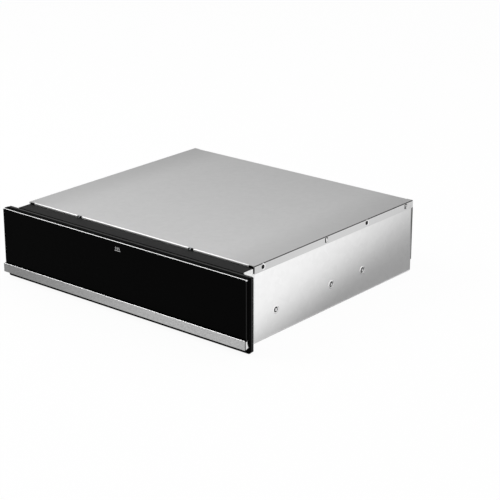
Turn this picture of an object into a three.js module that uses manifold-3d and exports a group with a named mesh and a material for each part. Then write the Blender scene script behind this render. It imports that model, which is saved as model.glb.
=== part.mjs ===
// Built-in warming drawer, closed: a low sheet steel casing with a black glass front, a drawer on
// three-member ball runners, and a cross-flow blower and heater in a bay behind the drawer.

import * as THREE from 'three';
import { mergeVertices } from 'three/addons/utils/BufferGeometryUtils.js';
import Module from 'manifold-3d';

const wasm = await Module();
wasm.setup();

// ---------------------------------------------------------------------------------------------
// Driving dimensions, in millimetres. x runs to the right, y from the face of the front glass
// towards the back, and z up from the cabinet shelf that the casing stands on.
// ---------------------------------------------------------------------------------------------

// Shared
const GAP = 0.3; // clearance between pieces that seat on each other
const RUNNING_GAP = 0.1; // clearance of balls, shafts and bushes
const SHEET = 1; // casing and drawer sheet steel
const BEND = 1.5; // bend radius of that sheet, on its middle line

// Front
const FRONT_WIDTH = 595;
const FRONT_HEIGHT = 136.5;
const FRONT_LIFT = 0.5; // lower edge of the front above the shelf
const FRONT_CORNER = 3;
const GLASS_THICKNESS = 4;
const GLASS_SIDE_INSET = 0.7; // glass inside the carrier's outline
const GLASS_TOP_INSET = 0.5;
const GLASS_ARRIS = 0.6; // ground edge of the glass
const CARRIER_DEPTH = 8.1;
const CHANNEL_DEPTH = 4; // grip channel cut into the carrier
const LINER_DEPTH = 6;
const LINER_SHEET = 0.8;
const LINER_INSET = 0.5; // liner inside the carrier's outline
const BUFFER_SPACE = 1.8; // air between door and casing, bridged by the buffers

// Grip strip
const GRIP_RISE = 10.5; // lower edge of the strip above the lower edge of the front
const GRIP_HEIGHT = 17.5;
const GRIP_PROUD = 4.5; // strip's face in front of the glass
const GRIP_WALL = 2;
const GRIP_RETURN = 1.6; // lip turned back at the strip's lower edge
const GRIP_EDGE = 0.5; // radius along the strip's upper edge
const GRIP_END_WIDTH = 3;
const GRIP_END_DEPTH = 4;
const GUSSET_REACH = 2.6; // gusset's tip behind the end piece
const GUSSET_TOP = 7; // heights on the end piece, down from the strip's upper edge
const GUSSET_TIP_TOP = 13.5;
const GUSSET_BOTTOM = 15;

// Casing
const FRONT_OVERHANG = 22; // front out beyond the cover's side flanges
const COVER_RISE = 5; // top of the cover above the top of the front
const CASING_FRONT = 47.5; // front edge of the cover behind the glass face
const CASING_DEPTH = 468.5; // from there to the back of the side panels
const COVER_FLANGE = 14.5; // cover's side flanges, downwards
const COVER_REAR_FLANGE = 21;
const COVER_BEND_STEPS = 3; // facets round each of the cover's bends
const CORNER_RELIEF = 6; // side panels' upper flanges set back at the front
const LIP_NOTCH_WIDTH = 12;
const LIP_NOTCH_DEPTH = 2;
const LIP_NOTCHES = [-141.5, 131.5]; // x of the two fixing screws in the cover's front lip
const SIDE_FLANGE = 12; // edges of the side panels, turned inwards
const TRAY_FRONT_FLANGE = 12;
const TRAY_REAR_FLANGE = 28;
const TRAY_BEAD_HEIGHT = 3;
const TRAY_BEAD_WIDTH = 30;
const TRAY_BEAD_X = 130;
const REAR_PANEL_BOTTOM = 23;
const REAR_PANEL_DROP = 14; // top of the rear panel below the top of the cover
const REAR_RIM = 2.3; // edge of the rear panel, turned back
const VENTS = [-60, 130]; // x of the two groups of cooling slots
const VENT_SLOTS = 7; // in each group
const VENT_WIDTH = 4;
const VENT_LENGTH = 40;
const VENT_PITCH = 10;

// Front frame, behind the door
const EAR_REACH = 15; // fixing ears out beyond the side panels
const EAR_INSET = 6; // ears stop short of the frame's ends
const EAR_SLOT_WIDTH = 5.5;
const EAR_SLOT_LENGTH = 9;
const EAR_SLOT_LOW = 30; // lower slot above the shelf
const EAR_SLOT_HIGH = 27.6; // upper slot below the ear's upper end
const FRAME_NOTCH = 2.4; // slit beside the cover's flange
const BUFFER_RADIUS = 5;
const BUFFER_CROWN_RADIUS = 3;
const BUFFER_STEM_END = 1.5; // stem behind the ear
const BUFFER_STEM_RADIUS = 2;
const BUFFER_HEIGHT = 70; // buffer's centre above the shelf

// Control housing
const HOUSING_WALL = 1.5;
const HOUSING_HEIGHT = 18.6;
const HOUSING_TOP_STEP = 4.4; // top plate below the cover's top
const HOUSING_FLOOR_DEPTH = 23;
const SCREW_TAB_WIDTH = 16;
const SCREW_TAB_LENGTH = 10;
const BUTTON_WIDTH = 14;
const BUTTON_HEIGHT = 8;
const BUTTON_CORNER = 2;
const BUTTON_PROUD = 0.8;
const BUTTON_COLLAR = 1.5; // collar behind the wall, wider than the button all round
const BUTTON_TRAVEL = 1.5;
const BUTTON_STEM_RADIUS = 1.6;
const BUTTON_STEM = 1.2; // stem behind the collar
const BUTTONS = { power_button: 30, temperature_button: 60, timer_button: 90 };
const LENS_X = -8;
const LENS_WIDTH = 34;
const LENS_HEIGHT = 3;
const BOARD_LEFT = -45;
const BOARD_RIGHT = 118;
const BOARD_THICKNESS = 1.6;
const SWITCH_SIZE = 6;
const SWITCH_DEPTH = 1.7;
const BOARD_BLOCKS = { // x of the middle, width, height and depth of the blocks on the board's back
  connector: [-38, 14, 10, 8],
  transformer: [32, 24, 14, 12],
  relay: [79, 26, 12, 11],
};
const CAPACITOR_X = 104;
const CAPACITOR_RADIUS = 5;
const CAPACITOR_LENGTH = 11;

// Drawer box
const DRAWER_BOTTOM = 22;
const DRAWER_HEADROOM = 7; // under the control housing
const DRAWER_RIM = 8; // sides' top edges, turned outwards
const DRAWER_FOOT = 12; // sides' lower edges, turned in under the floor
const DRAWER_FRONT_SPACE = 6; // between the door liner and the box's front wall
const DRAWER_END_SPACE = 11; // between the box's rear wall and the bulkhead
const FLOOR_UPSTAND = 12;
const MAT_THICKNESS = 2;
const MAT_MARGIN = 5;
const SLOT_COUNT = 16; // air slots in the rear wall
const SLOT_WIDTH = 6;
const BRACKET_SHEET = 1.2;
const BRACKET_ARM = 26;
const BRACKET_FOOT = 11;
const BRACKET_DROP = 16.7; // top of the bracket below the drawer's rim

// Ball runners
const RUNNER_Z = 47; // centre line of the runners above the shelf
const RUNNER_SETBACK = 1.5; // runner's front end behind the casing's front edge
const RUNNER_END_SPACE = 3; // between the runner's rear end and the bulkhead
const RUNNER_SHEET = 1.2;
const RUNNER_BEND = 1.2;
const MIDDLE_BEND = 0.9; // bends of the middle and the inner member
const MIDDLE_CLEARANCE = 1.2; // between the webs of the outer and the middle member
const CAGE_CLEARANCE = 1.4; // between the middle member's web and the inner cage
const OUTER_BALL_RADIUS = 2.3;
const INNER_BALL_RADIUS = 1.9;
const OUTER_BALL_HEIGHT = 19; // outer ball centres above and below the centre line
const BALL_STEP = 3.7; // inner balls in towards the drawer from the outer ones
const CAGE_SHEET = 0.6;
const CAGE_LENGTH = 200;
const CAGE_BALLS = 5; // in each row
const CAGE_END = 10; // first ball's centre from the cage's end

// Blower bay
const BULKHEAD_FOOT = 10;
const FAN_RADIUS = 21;
const FAN_LENGTH = 246;
const FAN_X = -20; // middle of the wheel
const FAN_Z = 60;
const FAN_AIR = 10; // rim of the wheel behind the bulkhead
const FAN_REAR_SPACE = 0.5; // end plates to the rear flanges
const FAN_BLADES = 18;
const FAN_BLADE_THICKNESS = 0.8;
const FAN_BLADE_INNER = 15;
const FAN_BLADE_STEPS = 2;
const FAN_BLADE_SWEEP = 0.35; // turn of a blade from its root to its tip, in radians
const FAN_DISC = 2;
const FAN_END_SPACE = 3; // wheel's ends to the end plates
const SCROLL_START_GAP = 2.5;
const SCROLL_END_GAP = 13;
const SCROLL_START = -100; // degrees about the wheel's axis, 0 towards the back
const SCROLL_END = 90;
const SCROLL_STEPS = 14;
const TONGUE_Z = 18; // tongue wall above the wheel's axis
const TONGUE_GAP = 2.5;
const TONGUE_HOOK = 8;
const END_PLATE = 1.2;
const END_PLATE_FOOT = 12;
const END_PLATE_MARGIN = 1.5; // end plates out beyond the scroll's middle line
const SHAFT_RADIUS = 3;
const SHAFT_END = 9; // shaft out beyond the left end plate's inner face
const BUSH_RADIUS = 6;
const BUSH_FLANGE = 2; // bush's flange, in width and in thickness
const STACK_THICKNESS = 18;
const STACK_STANDOFF = 8; // motor stack clear of the end plate
const STACK_HALF_WIDTH = 24;
const STACK_BELOW = 22;
const STACK_LEG = 14;
const STACK_WINDOW_HALF_WIDTH = 13;
const STACK_WINDOW_HEIGHT = 14;
const STACK_WINDOW_RISE = 16; // window's lower edge above the axis
const ROTOR_RADIUS = 11.5;
const ROTOR_GAP = 0.5;
const COIL_OVERHANG = 6;
const COIL_CLEARANCE = 1.5; // between the winding and the window's edges
const BEARING_PLATE_SPACE = 9;
const BEARING_BOSS = 2.4; // boss on the outside of the bearing plate
const ROTOR_SHAFT_END = 1.2; // shaft out beyond that boss
const POST_RADIUS = 3;
const HEATER_RADIUS = 3.2;
const HEATER_PITCH = 8.5;
const HEATER_FRONT_GAP = 1.3;
const HEATER_END_SPACE = 2; // hairpin's bend clear of the left end plate
const HEATER_END = 3; // cold ends out beyond the right end plate
const HEATER_PIN_RADIUS = 1.6;
const HEATER_PIN = 2; // length of the terminal pins
const HAIRPIN_STEPS = 8;

// Electrical pieces of the bay
const INLET_SIDE_SPACE = 45.2; // inlet's centre in from the left side panel
const INLET_Z = 50;
const INLET_BORE = 4;
const INLET_BODY = 7.5;
const INLET_FLANGE = 11;
const INLET_LENGTH = 20;
const TERMINAL_WIDTH = 42;
const TERMINAL_DEPTH = 24;
const TERMINAL_HEIGHT = 20;
const TERMINAL_POLES = 3;
const TERMINAL_WELL_RADIUS = 3.5;
const TERMINAL_WELL_DEPTH = 7;
const TERMINAL_WELL_INSET = 5; // wells' centres in from the block's rear face
const TERMINAL_SETBACK = 24; // block in front of the rear flanges
const LOOM_RADIUS = 2.5;
const LOOM_BEND = 14;
const LOOM_STEPS = 38; // rings along the loom
const LOOM_SIDES = 6;
const LOOM_STEP = 4; // loom to the left of the inlet's centre
const CUTOUT_RADIUS = 8;
const CUTOUT_FLANGE = 2.5;
const CUTOUT_CAP_RADIUS = 6.4;
const CUTOUT_CAP = 3.5; // cap behind the flange
const CUTOUT_BLADE = 8; // terminal blades behind the cap
const CUTOUT_BLADE_WIDTH = 6.3;

// Faceting
const BALL_FACETS = 6;
const BALL_RINGS = 4;
const ROUND_FACETS = 24;
const SMALL_ROUND_FACETS = 12;

// ---------------------------------------------------------------------------------------------
// Planes that several pieces share
// ---------------------------------------------------------------------------------------------

const FRONT_HALF = FRONT_WIDTH / 2;
const FRONT_TOP = FRONT_LIFT + FRONT_HEIGHT;
const GRIP_BOTTOM = FRONT_LIFT + GRIP_RISE;
const GRIP_TOP = GRIP_BOTTOM + GRIP_HEIGHT;
const CARRIER_FRONT = GLASS_THICKNESS + GAP;
const CARRIER_BACK = CARRIER_FRONT + CARRIER_DEPTH;
const LINER_FRONT = CARRIER_BACK + GAP;
const LINER_BACK = LINER_FRONT + LINER_DEPTH;
const FRAME_FRONT = LINER_BACK + BUFFER_SPACE;

const CASING_HEIGHT = FRONT_TOP + COVER_RISE;
const COVER_OUT = FRONT_HALF - FRONT_OVERHANG;
const SIDE_OUT = COVER_OUT - SHEET - GAP;
const SIDE_IN = SIDE_OUT - SHEET;
const INSIDE = SIDE_IN - GAP; // half width of what spans the casing
const INSIDE_BENDS = SIDE_IN - BEND; // half width of what rests on the side panels' flanges
const FLANGE_IN = SIDE_OUT - SIDE_FLANGE; // inner ends of the side panels' flanges
const CASING_BACK = CASING_FRONT + CASING_DEPTH;
const SIDE_TOP = CASING_HEIGHT - SHEET - GAP;
const TRAY_BOTTOM = SHEET + GAP;
const TRAY_TOP = TRAY_BOTTOM + SHEET;
const HOUSING_TOP = CASING_HEIGHT - HOUSING_TOP_STEP;
const HOUSING_UNDER = HOUSING_TOP - HOUSING_WALL;
const HOUSING_BOTTOM = HOUSING_TOP - HOUSING_HEIGHT;
const HOUSING_BACK = CASING_FRONT - GAP;
const REAR_PANEL_TOP = CASING_HEIGHT - REAR_PANEL_DROP;
const REAR_PANEL_FRONT = CASING_BACK + GAP;
const REAR_PANEL_BACK = REAR_PANEL_FRONT + SHEET;
const OBJECT_BACK = REAR_PANEL_FRONT + REAR_RIM;

// Gap between the wheel and the scroll, which widens steadily with the angle.
const scrollGap = (angle) => SCROLL_START_GAP
  + (SCROLL_END_GAP - SCROLL_START_GAP) * (angle - SCROLL_START) / (SCROLL_END - SCROLL_START);

const BAY_BACK = CASING_BACK - SHEET;
const FAN_SETBACK = FAN_AIR + FAN_RADIUS;
const FAN_REACH = FAN_RADIUS + scrollGap(0) + END_PLATE_MARGIN; // blower behind the wheel's axis
const BULKHEAD_FRONT = BAY_BACK - FAN_REAR_SPACE - FAN_REACH - FAN_SETBACK - SHEET;
const BULKHEAD_BACK = BULKHEAD_FRONT + SHEET;
const RUNNER_FRONT = CASING_FRONT + RUNNER_SETBACK;
const RUNNER_LENGTH = BULKHEAD_FRONT - RUNNER_END_SPACE - RUNNER_FRONT;
const RUNNER_OUT = SIDE_IN - GAP;
const RACE_OUTER = OUTER_BALL_RADIUS + RUNNING_GAP + RUNNER_SHEET / 2; // middle lines of the races
const RACE_INNER = INNER_BALL_RADIUS + RUNNING_GAP + RUNNER_SHEET / 2;
const MIDDLE_WEB = RUNNER_SHEET * 1.5 + MIDDLE_CLEARANCE; // depths from the runner's casing side
const OUTER_BALL_DEPTH = MIDDLE_WEB + 1.5 * MIDDLE_BEND + RACE_OUTER / 2;
const INNER_BALL_DEPTH = OUTER_BALL_DEPTH + BALL_STEP;
const RUNNER_DEPTH = INNER_BALL_DEPTH + INNER_BALL_RADIUS + RUNNER_SHEET;
const DRAWER_OUT = RUNNER_OUT - RUNNER_DEPTH - GAP;
const DRAWER_IN = DRAWER_OUT - SHEET;
const DRAWER_TOP = HOUSING_BOTTOM - DRAWER_HEADROOM;
const BOX_HALF = DRAWER_IN - GAP; // half width of the box's end walls
const FLOOR_HALF = DRAWER_IN - BEND;
const BOX_FRONT = LINER_BACK + DRAWER_FRONT_SPACE;
const BOX_BACK = BULKHEAD_FRONT - DRAWER_END_SPACE;
const FLOOR_BOTTOM = DRAWER_BOTTOM + SHEET + GAP;
const FLOOR_TOP = FLOOR_BOTTOM + SHEET;
const WALL_BOTTOM = DRAWER_BOTTOM + SHEET + BEND; // end walls start above the sides' bends

const FAN_Y = BULKHEAD_BACK + FAN_SETBACK;
const FAN_LEFT = FAN_X - FAN_LENGTH / 2;
const FAN_RIGHT = FAN_X + FAN_LENGTH / 2;
const PLATE_LEFT = FAN_LEFT - FAN_END_SPACE; // faces of the end plates towards the wheel
const PLATE_RIGHT = FAN_RIGHT + FAN_END_SPACE;
const SCROLL_TOP = FAN_Z + FAN_RADIUS + SCROLL_END_GAP;
const OUTLET_BOTTOM = FAN_Z + TONGUE_Z + SHEET / 2;
const OUTLET_TOP = SCROLL_TOP - SHEET / 2;
const HEATER_Z = (OUTLET_BOTTOM + OUTLET_TOP) / 2;
const HEATER_Y = BULKHEAD_BACK + HEATER_FRONT_GAP + HEATER_RADIUS;
const STACK_LEFT = PLATE_RIGHT + END_PLATE + STACK_STANDOFF;
const STACK_RIGHT = STACK_LEFT + STACK_THICKNESS;
const LEG_BOTTOM = FAN_Z + STACK_WINDOW_RISE + STACK_WINDOW_HEIGHT;
const LEG_TOP = LEG_BOTTOM + STACK_LEG;
const BEARING_PLATE_LEFT = STACK_RIGHT + BEARING_PLATE_SPACE;
const INLET_X = INLET_SIDE_SPACE - SIDE_IN;
const LOOM_X = INLET_X - LOOM_STEP;
const TERMINAL_BACK = BAY_BACK - TERMINAL_SETBACK;
const TERMINAL_Y = TERMINAL_BACK - TERMINAL_DEPTH / 2;

// ---------------------------------------------------------------------------------------------
// Geometry helpers
// ---------------------------------------------------------------------------------------------

const point = (a, b) => new THREE.Vector2(a, b);

function solid(geometry) {
  const plain = geometry.index ? geometry.toNonIndexed() : geometry.clone();
  plain.deleteAttribute('normal');
  plain.deleteAttribute('uv');
  const merged = mergeVertices(plain, 1e-4);
  return new wasm.Manifold(new wasm.Mesh({
    numProp: 3,
    vertProperties: new Float32Array(merged.attributes.position.array),
    triVerts: new Uint32Array(merged.index.array),
  }));
}

function surface(manifold) {
  const mesh = manifold.getMesh();
  const geometry = new THREE.BufferGeometry();
  geometry.setAttribute('position', new THREE.BufferAttribute(mesh.vertProperties, 3));
  geometry.setIndex(new THREE.BufferAttribute(mesh.triVerts, 1));
  return geometry;
}

const join = (...geometries) => surface(
  geometries.map(solid).reduce((whole, piece) => whole.add(piece)),
);

const cut = (geometry, ...tools) => surface(
  tools.map(solid).reduce((rest, tool) => rest.subtract(tool), solid(geometry)),
);

function block(x0, x1, y0, y1, z0, z1) {
  const geometry = new THREE.BoxGeometry(x1 - x0, y1 - y0, z1 - z0);
  return geometry.translate((x0 + x1) / 2, (y0 + y1) / 2, (z0 + z1) / 2);
}

// A shape drawn in y and z, swept along x.
function sweepX(shape, x0, x1, curveSegments = 6) {
  const geometry = new THREE.ExtrudeGeometry(shape, {
    depth: x1 - x0, bevelEnabled: false, curveSegments,
  });
  geometry.applyMatrix4(new THREE.Matrix4().makeBasis(
    new THREE.Vector3(0, 1, 0), new THREE.Vector3(0, 0, 1), new THREE.Vector3(1, 0, 0),
  ));
  return geometry.translate(x0, 0, 0);
}

// A shape drawn in x and z, swept along y.
function sweepY(shape, y0, y1, curveSegments = 6) {
  const geometry = new THREE.ExtrudeGeometry(shape, {
    depth: y1 - y0, bevelEnabled: false, curveSegments,
  });
  return geometry.rotateX(Math.PI / 2).translate(0, y1, 0);
}

// A shape drawn in x and y, swept along z.
function sweepZ(shape, z0, z1, curveSegments = 6) {
  const geometry = new THREE.ExtrudeGeometry(shape, {
    depth: z1 - z0, bevelEnabled: false, curveSegments,
  });
  return geometry.translate(0, 0, z0);
}

function rodX(radius, x0, x1, y, z, facets = SMALL_ROUND_FACETS) {
  const geometry = new THREE.CylinderGeometry(radius, radius, x1 - x0, facets);
  return geometry.rotateZ(Math.PI / 2).translate((x0 + x1) / 2, y, z);
}

function rodY(radius, y0, y1, x, z, facets = SMALL_ROUND_FACETS) {
  const geometry = new THREE.CylinderGeometry(radius, radius, y1 - y0, facets);
  return geometry.translate(x, (y0 + y1) / 2, z);
}

function rodZ(radius, z0, z1, x, y, facets = SMALL_ROUND_FACETS) {
  const geometry = new THREE.CylinderGeometry(radius, radius, z1 - z0, facets);
  return geometry.rotateX(Math.PI / 2).translate(x, y, (z0 + z1) / 2);
}

// Radius of a faceted bore whose flats stay clear of a shaft by the given gap.
const boreRadius = (shaft, gap, facets) => (shaft + gap) / Math.cos(Math.PI / facets);

function rectangle(a0, a1, b0, b1) {
  return new THREE.Shape([point(a0, b0), point(a1, b0), point(a1, b1), point(a0, b1)]);
}

function roundedRectangle(a0, a1, b0, b1, radius, Kind = THREE.Shape) {
  const quarter = Math.PI / 2;
  const outline = new Kind();
  outline.absarc(a1 - radius, b0 + radius, radius, -quarter, 0);
  outline.absarc(a1 - radius, b1 - radius, radius, 0, quarter);
  outline.absarc(a0 + radius, b1 - radius, radius, quarter, 2 * quarter);
  outline.absarc(a0 + radius, b0 + radius, radius, 2 * quarter, 3 * quarter);
  outline.closePath();
  return outline;
}

// The middle line of a bent sheet: straight runs between corners, each corner bent to a radius.
function bentLine(corners, radius = BEND, steps = 2) {
  const line = [corners[0].clone()];
  for (let i = 1; i < corners.length - 1; i += 1) {
    const before = corners[i].clone().sub(corners[i - 1]).normalize();
    const after = corners[i + 1].clone().sub(corners[i]).normalize();
    const turn = Math.atan2(before.cross(after), before.dot(after));
    const reach = radius * Math.tan(Math.abs(turn) / 2);
    const inward = point(-before.y, before.x).multiplyScalar(Math.sign(turn) * radius);
    const centre = corners[i].clone().addScaledVector(before, -reach).add(inward);
    const spoke = inward.clone().negate();
    for (let s = 0; s <= steps; s += 1) {
      line.push(spoke.clone().rotateAround(point(0, 0), turn * s / steps).add(centre));
    }
  }
  line.push(corners.at(-1).clone());
  return line;
}

function arcLine(centre, radius, fromDegrees, toDegrees, steps) {
  return Array.from({ length: steps + 1 }, (_, s) => {
    const angle = THREE.MathUtils.degToRad(fromDegrees + (toDegrees - fromDegrees) * s / steps);
    return point(centre.x + radius * Math.cos(angle), centre.y + radius * Math.sin(angle));
  });
}

const circle = (centre, radius, facets) => (
  arcLine(centre, radius, 0, 360 - 360 / facets, facets - 1)
);

// A faceted round hole that clears a round body of the given radius.
function roundHole(a, b, radius, gap, facets = ROUND_FACETS) {
  const bore = boreRadius(radius, gap, facets);
  return new THREE.Path(circle(point(a, b), bore, facets));
}

// A sheet's cross-section: its middle line thickened to both sides.
function sheetShape(line, thickness = SHEET) {
  const left = [];
  const right = [];
  line.forEach((here, i) => {
    const before = i > 0 ? here.clone().sub(line[i - 1]).normalize() : null;
    const after = i < line.length - 1 ? line[i + 1].clone().sub(here).normalize() : null;
    const along = before && after ? before.clone().add(after).normalize() : before ?? after;
    const reach = thickness / 2 / (before ? along.dot(before) : 1);
    const side = point(-along.y, along.x).multiplyScalar(reach);
    left.push(here.clone().add(side));
    right.unshift(here.clone().sub(side));
  });
  return new THREE.Shape([...left, ...right]);
}

// The same piece for the other side of the object.
function mirrored(geometry) {
  const flat = geometry.index ? geometry.toNonIndexed() : geometry.clone();
  flat.scale(-1, 1, 1);
  const corners = flat.attributes.position;
  const keep = new THREE.Vector3();
  const swap = new THREE.Vector3();
  for (let i = 0; i < corners.count; i += 3) {
    keep.fromBufferAttribute(corners, i + 1);
    swap.fromBufferAttribute(corners, i + 2);
    corners.setXYZ(i + 1, swap.x, swap.y, swap.z);
    corners.setXYZ(i + 2, keep.x, keep.y, keep.z);
  }
  return flat;
}

// A round cable through the given points, with bent corners.
function cable(corners, radius, bend, steps) {
  const route = new THREE.CurvePath();
  let start = corners[0];
  for (let i = 1; i < corners.length - 1; i += 1) {
    const into = corners[i].clone().sub(corners[i - 1]).normalize();
    const out = corners[i + 1].clone().sub(corners[i]).normalize();
    const bendStart = corners[i].clone().addScaledVector(into, -bend);
    const bendEnd = corners[i].clone().addScaledVector(out, bend);
    route.add(new THREE.LineCurve3(start, bendStart));
    route.add(new THREE.QuadraticBezierCurve3(bendStart, corners[i], bendEnd));
    start = bendEnd;
  }
  route.add(new THREE.LineCurve3(start, corners.at(-1)));
  const section = new THREE.Shape(circle(point(0, 0), radius, LOOM_SIDES));
  return new THREE.ExtrudeGeometry(section, { steps, extrudePath: route });
}

// ---------------------------------------------------------------------------------------------
// Materials
// ---------------------------------------------------------------------------------------------

const finish = (color, roughness, metalness) => () => (
  new THREE.MeshStandardMaterial({ color, roughness, metalness })
);

const galvanised = finish(0xc8c8c6, 0.42, 0.9);
const blackGlass = finish(0x080808, 0.05, 0);
const blackPlastic = finish(0x161616, 0.45, 0);
const blackEnamel = finish(0x222222, 0.4, 0.2);
const brushedSteel = finish(0xa8a8a6, 0.32, 1);
const zincPlate = finish(0xb8bab8, 0.3, 1);
const hardSteel = finish(0xd8d8d8, 0.12, 1);
const blackRubber = finish(0x1a1a1a, 0.85, 0);
const mineralWool = finish(0xb9ad8c, 0.95, 0);
const circuitBoard = finish(0x2c6b3a, 0.6, 0);
const clearLens = finish(0xd8dde0, 0.15, 0);
const whiteNylon = finish(0xe6e2d6, 0.5, 0);
const motorIron = finish(0x55585c, 0.55, 0.7);
const copperCoil = finish(0x9c4a22, 0.5, 0.4);
const sheathSteel = finish(0x6f6a62, 0.45, 0.8);
const sinteredBronze = finish(0x9a7a4a, 0.5, 0.8);

// ---------------------------------------------------------------------------------------------
// Front: glass, carrier, grip strip, liner
// ---------------------------------------------------------------------------------------------

function glassFront() {
  const bottom = GRIP_TOP + GAP + GLASS_ARRIS;
  const half = FRONT_HALF - GLASS_SIDE_INSET;
  const cornerX = half - FRONT_CORNER;
  const cornerZ = FRONT_TOP - GLASS_TOP_INSET - FRONT_CORNER;
  const cornerRadius = FRONT_CORNER - GLASS_ARRIS;
  const outline = new THREE.Shape();
  outline.moveTo(-half + GLASS_ARRIS, bottom);
  outline.lineTo(half - GLASS_ARRIS, bottom);
  outline.absarc(cornerX, cornerZ, cornerRadius, 0, Math.PI / 2);
  outline.absarc(-cornerX, cornerZ, cornerRadius, Math.PI / 2, Math.PI);
  outline.closePath();
  const pane = new THREE.ExtrudeGeometry(outline, {
    depth: GLASS_THICKNESS - 2 * GLASS_ARRIS,
    bevelEnabled: true,
    bevelSize: GLASS_ARRIS,
    bevelThickness: GLASS_ARRIS,
    bevelSegments: 1,
    curveSegments: 5,
  });
  return pane.rotateX(Math.PI / 2).translate(0, GLASS_THICKNESS - GLASS_ARRIS, 0);
}

function frontCarrier() {
  const outline = roundedRectangle(-FRONT_HALF, FRONT_HALF, FRONT_LIFT, FRONT_TOP, FRONT_CORNER);
  const slab = sweepY(outline, CARRIER_FRONT, CARRIER_BACK, 4);
  const channel = block(
    -FRONT_HALF - SHEET, FRONT_HALF + SHEET, CARRIER_FRONT - SHEET, CARRIER_FRONT + CHANNEL_DEPTH,
    FRONT_LIFT - SHEET, GRIP_TOP - GRIP_WALL,
  );
  return cut(slab, channel);
}

// An L-shaped aluminium profile: its upper leg runs back under the glass to the carrier.
function gripStrip() {
  const face = -GRIP_PROUD;
  const section = new THREE.Shape();
  section.moveTo(face + GRIP_WALL, GRIP_BOTTOM + GRIP_WALL / 2);
  section.lineTo(face + GRIP_WALL, GRIP_TOP - GRIP_WALL);
  section.lineTo(CARRIER_FRONT - GAP, GRIP_TOP - GRIP_WALL);
  section.lineTo(CARRIER_FRONT - GAP, GRIP_TOP);
  section.absarc(face + GRIP_EDGE, GRIP_TOP - GRIP_EDGE, GRIP_EDGE, Math.PI / 2, Math.PI);
  section.absarc(
    face + GRIP_WALL / 2, GRIP_BOTTOM + GRIP_WALL / 2, GRIP_WALL / 2, Math.PI, 1.5 * Math.PI,
  );
  section.lineTo(face + GRIP_WALL + GRIP_RETURN, GRIP_BOTTOM);
  section.lineTo(face + GRIP_WALL + GRIP_RETURN, GRIP_BOTTOM + GRIP_WALL / 2);
  section.closePath();
  return sweepX(section, -FRONT_HALF, FRONT_HALF, 3);
}

// The right-hand end piece: it lies in the strip's corner, and a small gusset stiffens it.
function gripEnd() {
  const front = GRIP_WALL - GRIP_PROUD + GAP;
  const back = front + GRIP_END_DEPTH;
  const bottom = GRIP_BOTTOM + GRIP_WALL / 2 + GAP;
  const top = GRIP_TOP - GRIP_WALL - GAP;
  const section = new THREE.Shape([
    point(front, bottom),
    point(front + GRIP_RETURN, bottom),
    point(back, GRIP_TOP - GUSSET_BOTTOM),
    point(back + GUSSET_REACH, GRIP_TOP - GUSSET_BOTTOM),
    point(back + GUSSET_REACH, GRIP_TOP - GUSSET_TIP_TOP),
    point(back, GRIP_TOP - GUSSET_TOP),
    point(back, top),
    point(front, top),
  ]);
  return sweepX(section, FRONT_HALF - GRIP_END_WIDTH, FRONT_HALF);
}

function linerOutline(inset, Kind = THREE.Shape) {
  return roundedRectangle(
    -FRONT_HALF + inset, FRONT_HALF - inset, FRONT_LIFT + inset, FRONT_TOP - inset,
    FRONT_CORNER - inset, Kind,
  );
}

// A shallow tray whose rim faces the carrier.
function doorLiner() {
  const rim = linerOutline(LINER_INSET);
  rim.holes.push(linerOutline(LINER_INSET + LINER_SHEET, THREE.Path));
  return join(
    sweepY(linerOutline(LINER_INSET), LINER_BACK - LINER_SHEET, LINER_BACK, 2),
    sweepY(rim, LINER_FRONT, LINER_BACK - LINER_SHEET / 2, 2),
  );
}

function doorInsulation() {
  const outline = linerOutline(LINER_INSET + LINER_SHEET + GAP);
  return sweepY(outline, LINER_FRONT, LINER_BACK - LINER_SHEET - GAP, 2);
}

// ---------------------------------------------------------------------------------------------
// Casing: side panels, base tray, rear panel, cover, front frame
// ---------------------------------------------------------------------------------------------

// The right-hand side: a channel with its edges turned inwards at top, bottom and back.
function sidePanel() {
  const half = SHEET / 2;
  const line = bentLine([
    point(FLANGE_IN, half),
    point(SIDE_OUT - half, half),
    point(SIDE_OUT - half, SIDE_TOP - half),
    point(FLANGE_IN, SIDE_TOP - half),
  ]);
  const channel = cut(
    sweepY(sheetShape(line), CASING_FRONT, CASING_BACK),
    block(
      FLANGE_IN - SHEET, SIDE_IN - BEND, CASING_FRONT - SHEET, CASING_FRONT + CORNER_RELIEF,
      SIDE_TOP - 2 * SHEET, SIDE_TOP + SHEET,
    ),
  );
  return join(
    channel,
    block(FLANGE_IN, SIDE_OUT - half, CASING_BACK - SHEET, CASING_BACK, half, SIDE_TOP - half),
  );
}

function baseTray() {
  const level = TRAY_BOTTOM + SHEET / 2;
  const bead = (x) => [
    point(x - TRAY_BEAD_WIDTH / 2, level),
    point(x - TRAY_BEAD_WIDTH / 2 + TRAY_BEAD_HEIGHT, level + TRAY_BEAD_HEIGHT),
    point(x + TRAY_BEAD_WIDTH / 2 - TRAY_BEAD_HEIGHT, level + TRAY_BEAD_HEIGHT),
    point(x + TRAY_BEAD_WIDTH / 2, level),
  ];
  const line = [
    point(-INSIDE_BENDS, level), ...bead(-TRAY_BEAD_X),
    ...bead(TRAY_BEAD_X), point(INSIDE_BENDS, level),
  ];
  const flange = (faceY, height, into) => sheetShape(bentLine([
    point(faceY + into, level), point(faceY, level), point(faceY, TRAY_TOP + height),
  ]));
  const half = SHEET / 2;
  const front = FRAME_FRONT + half;
  const overlap = 2 * BEND;
  const rearHalf = FLANGE_IN - GAP;
  return join(
    sweepY(sheetShape(line), front + BEND, BAY_BACK - GAP),
    sweepX(flange(front, TRAY_FRONT_FLANGE, overlap), -INSIDE_BENDS, INSIDE_BENDS),
    sweepX(flange(BAY_BACK + half, TRAY_REAR_FLANGE, -overlap), -rearHalf, rearHalf),
  );
}

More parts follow.
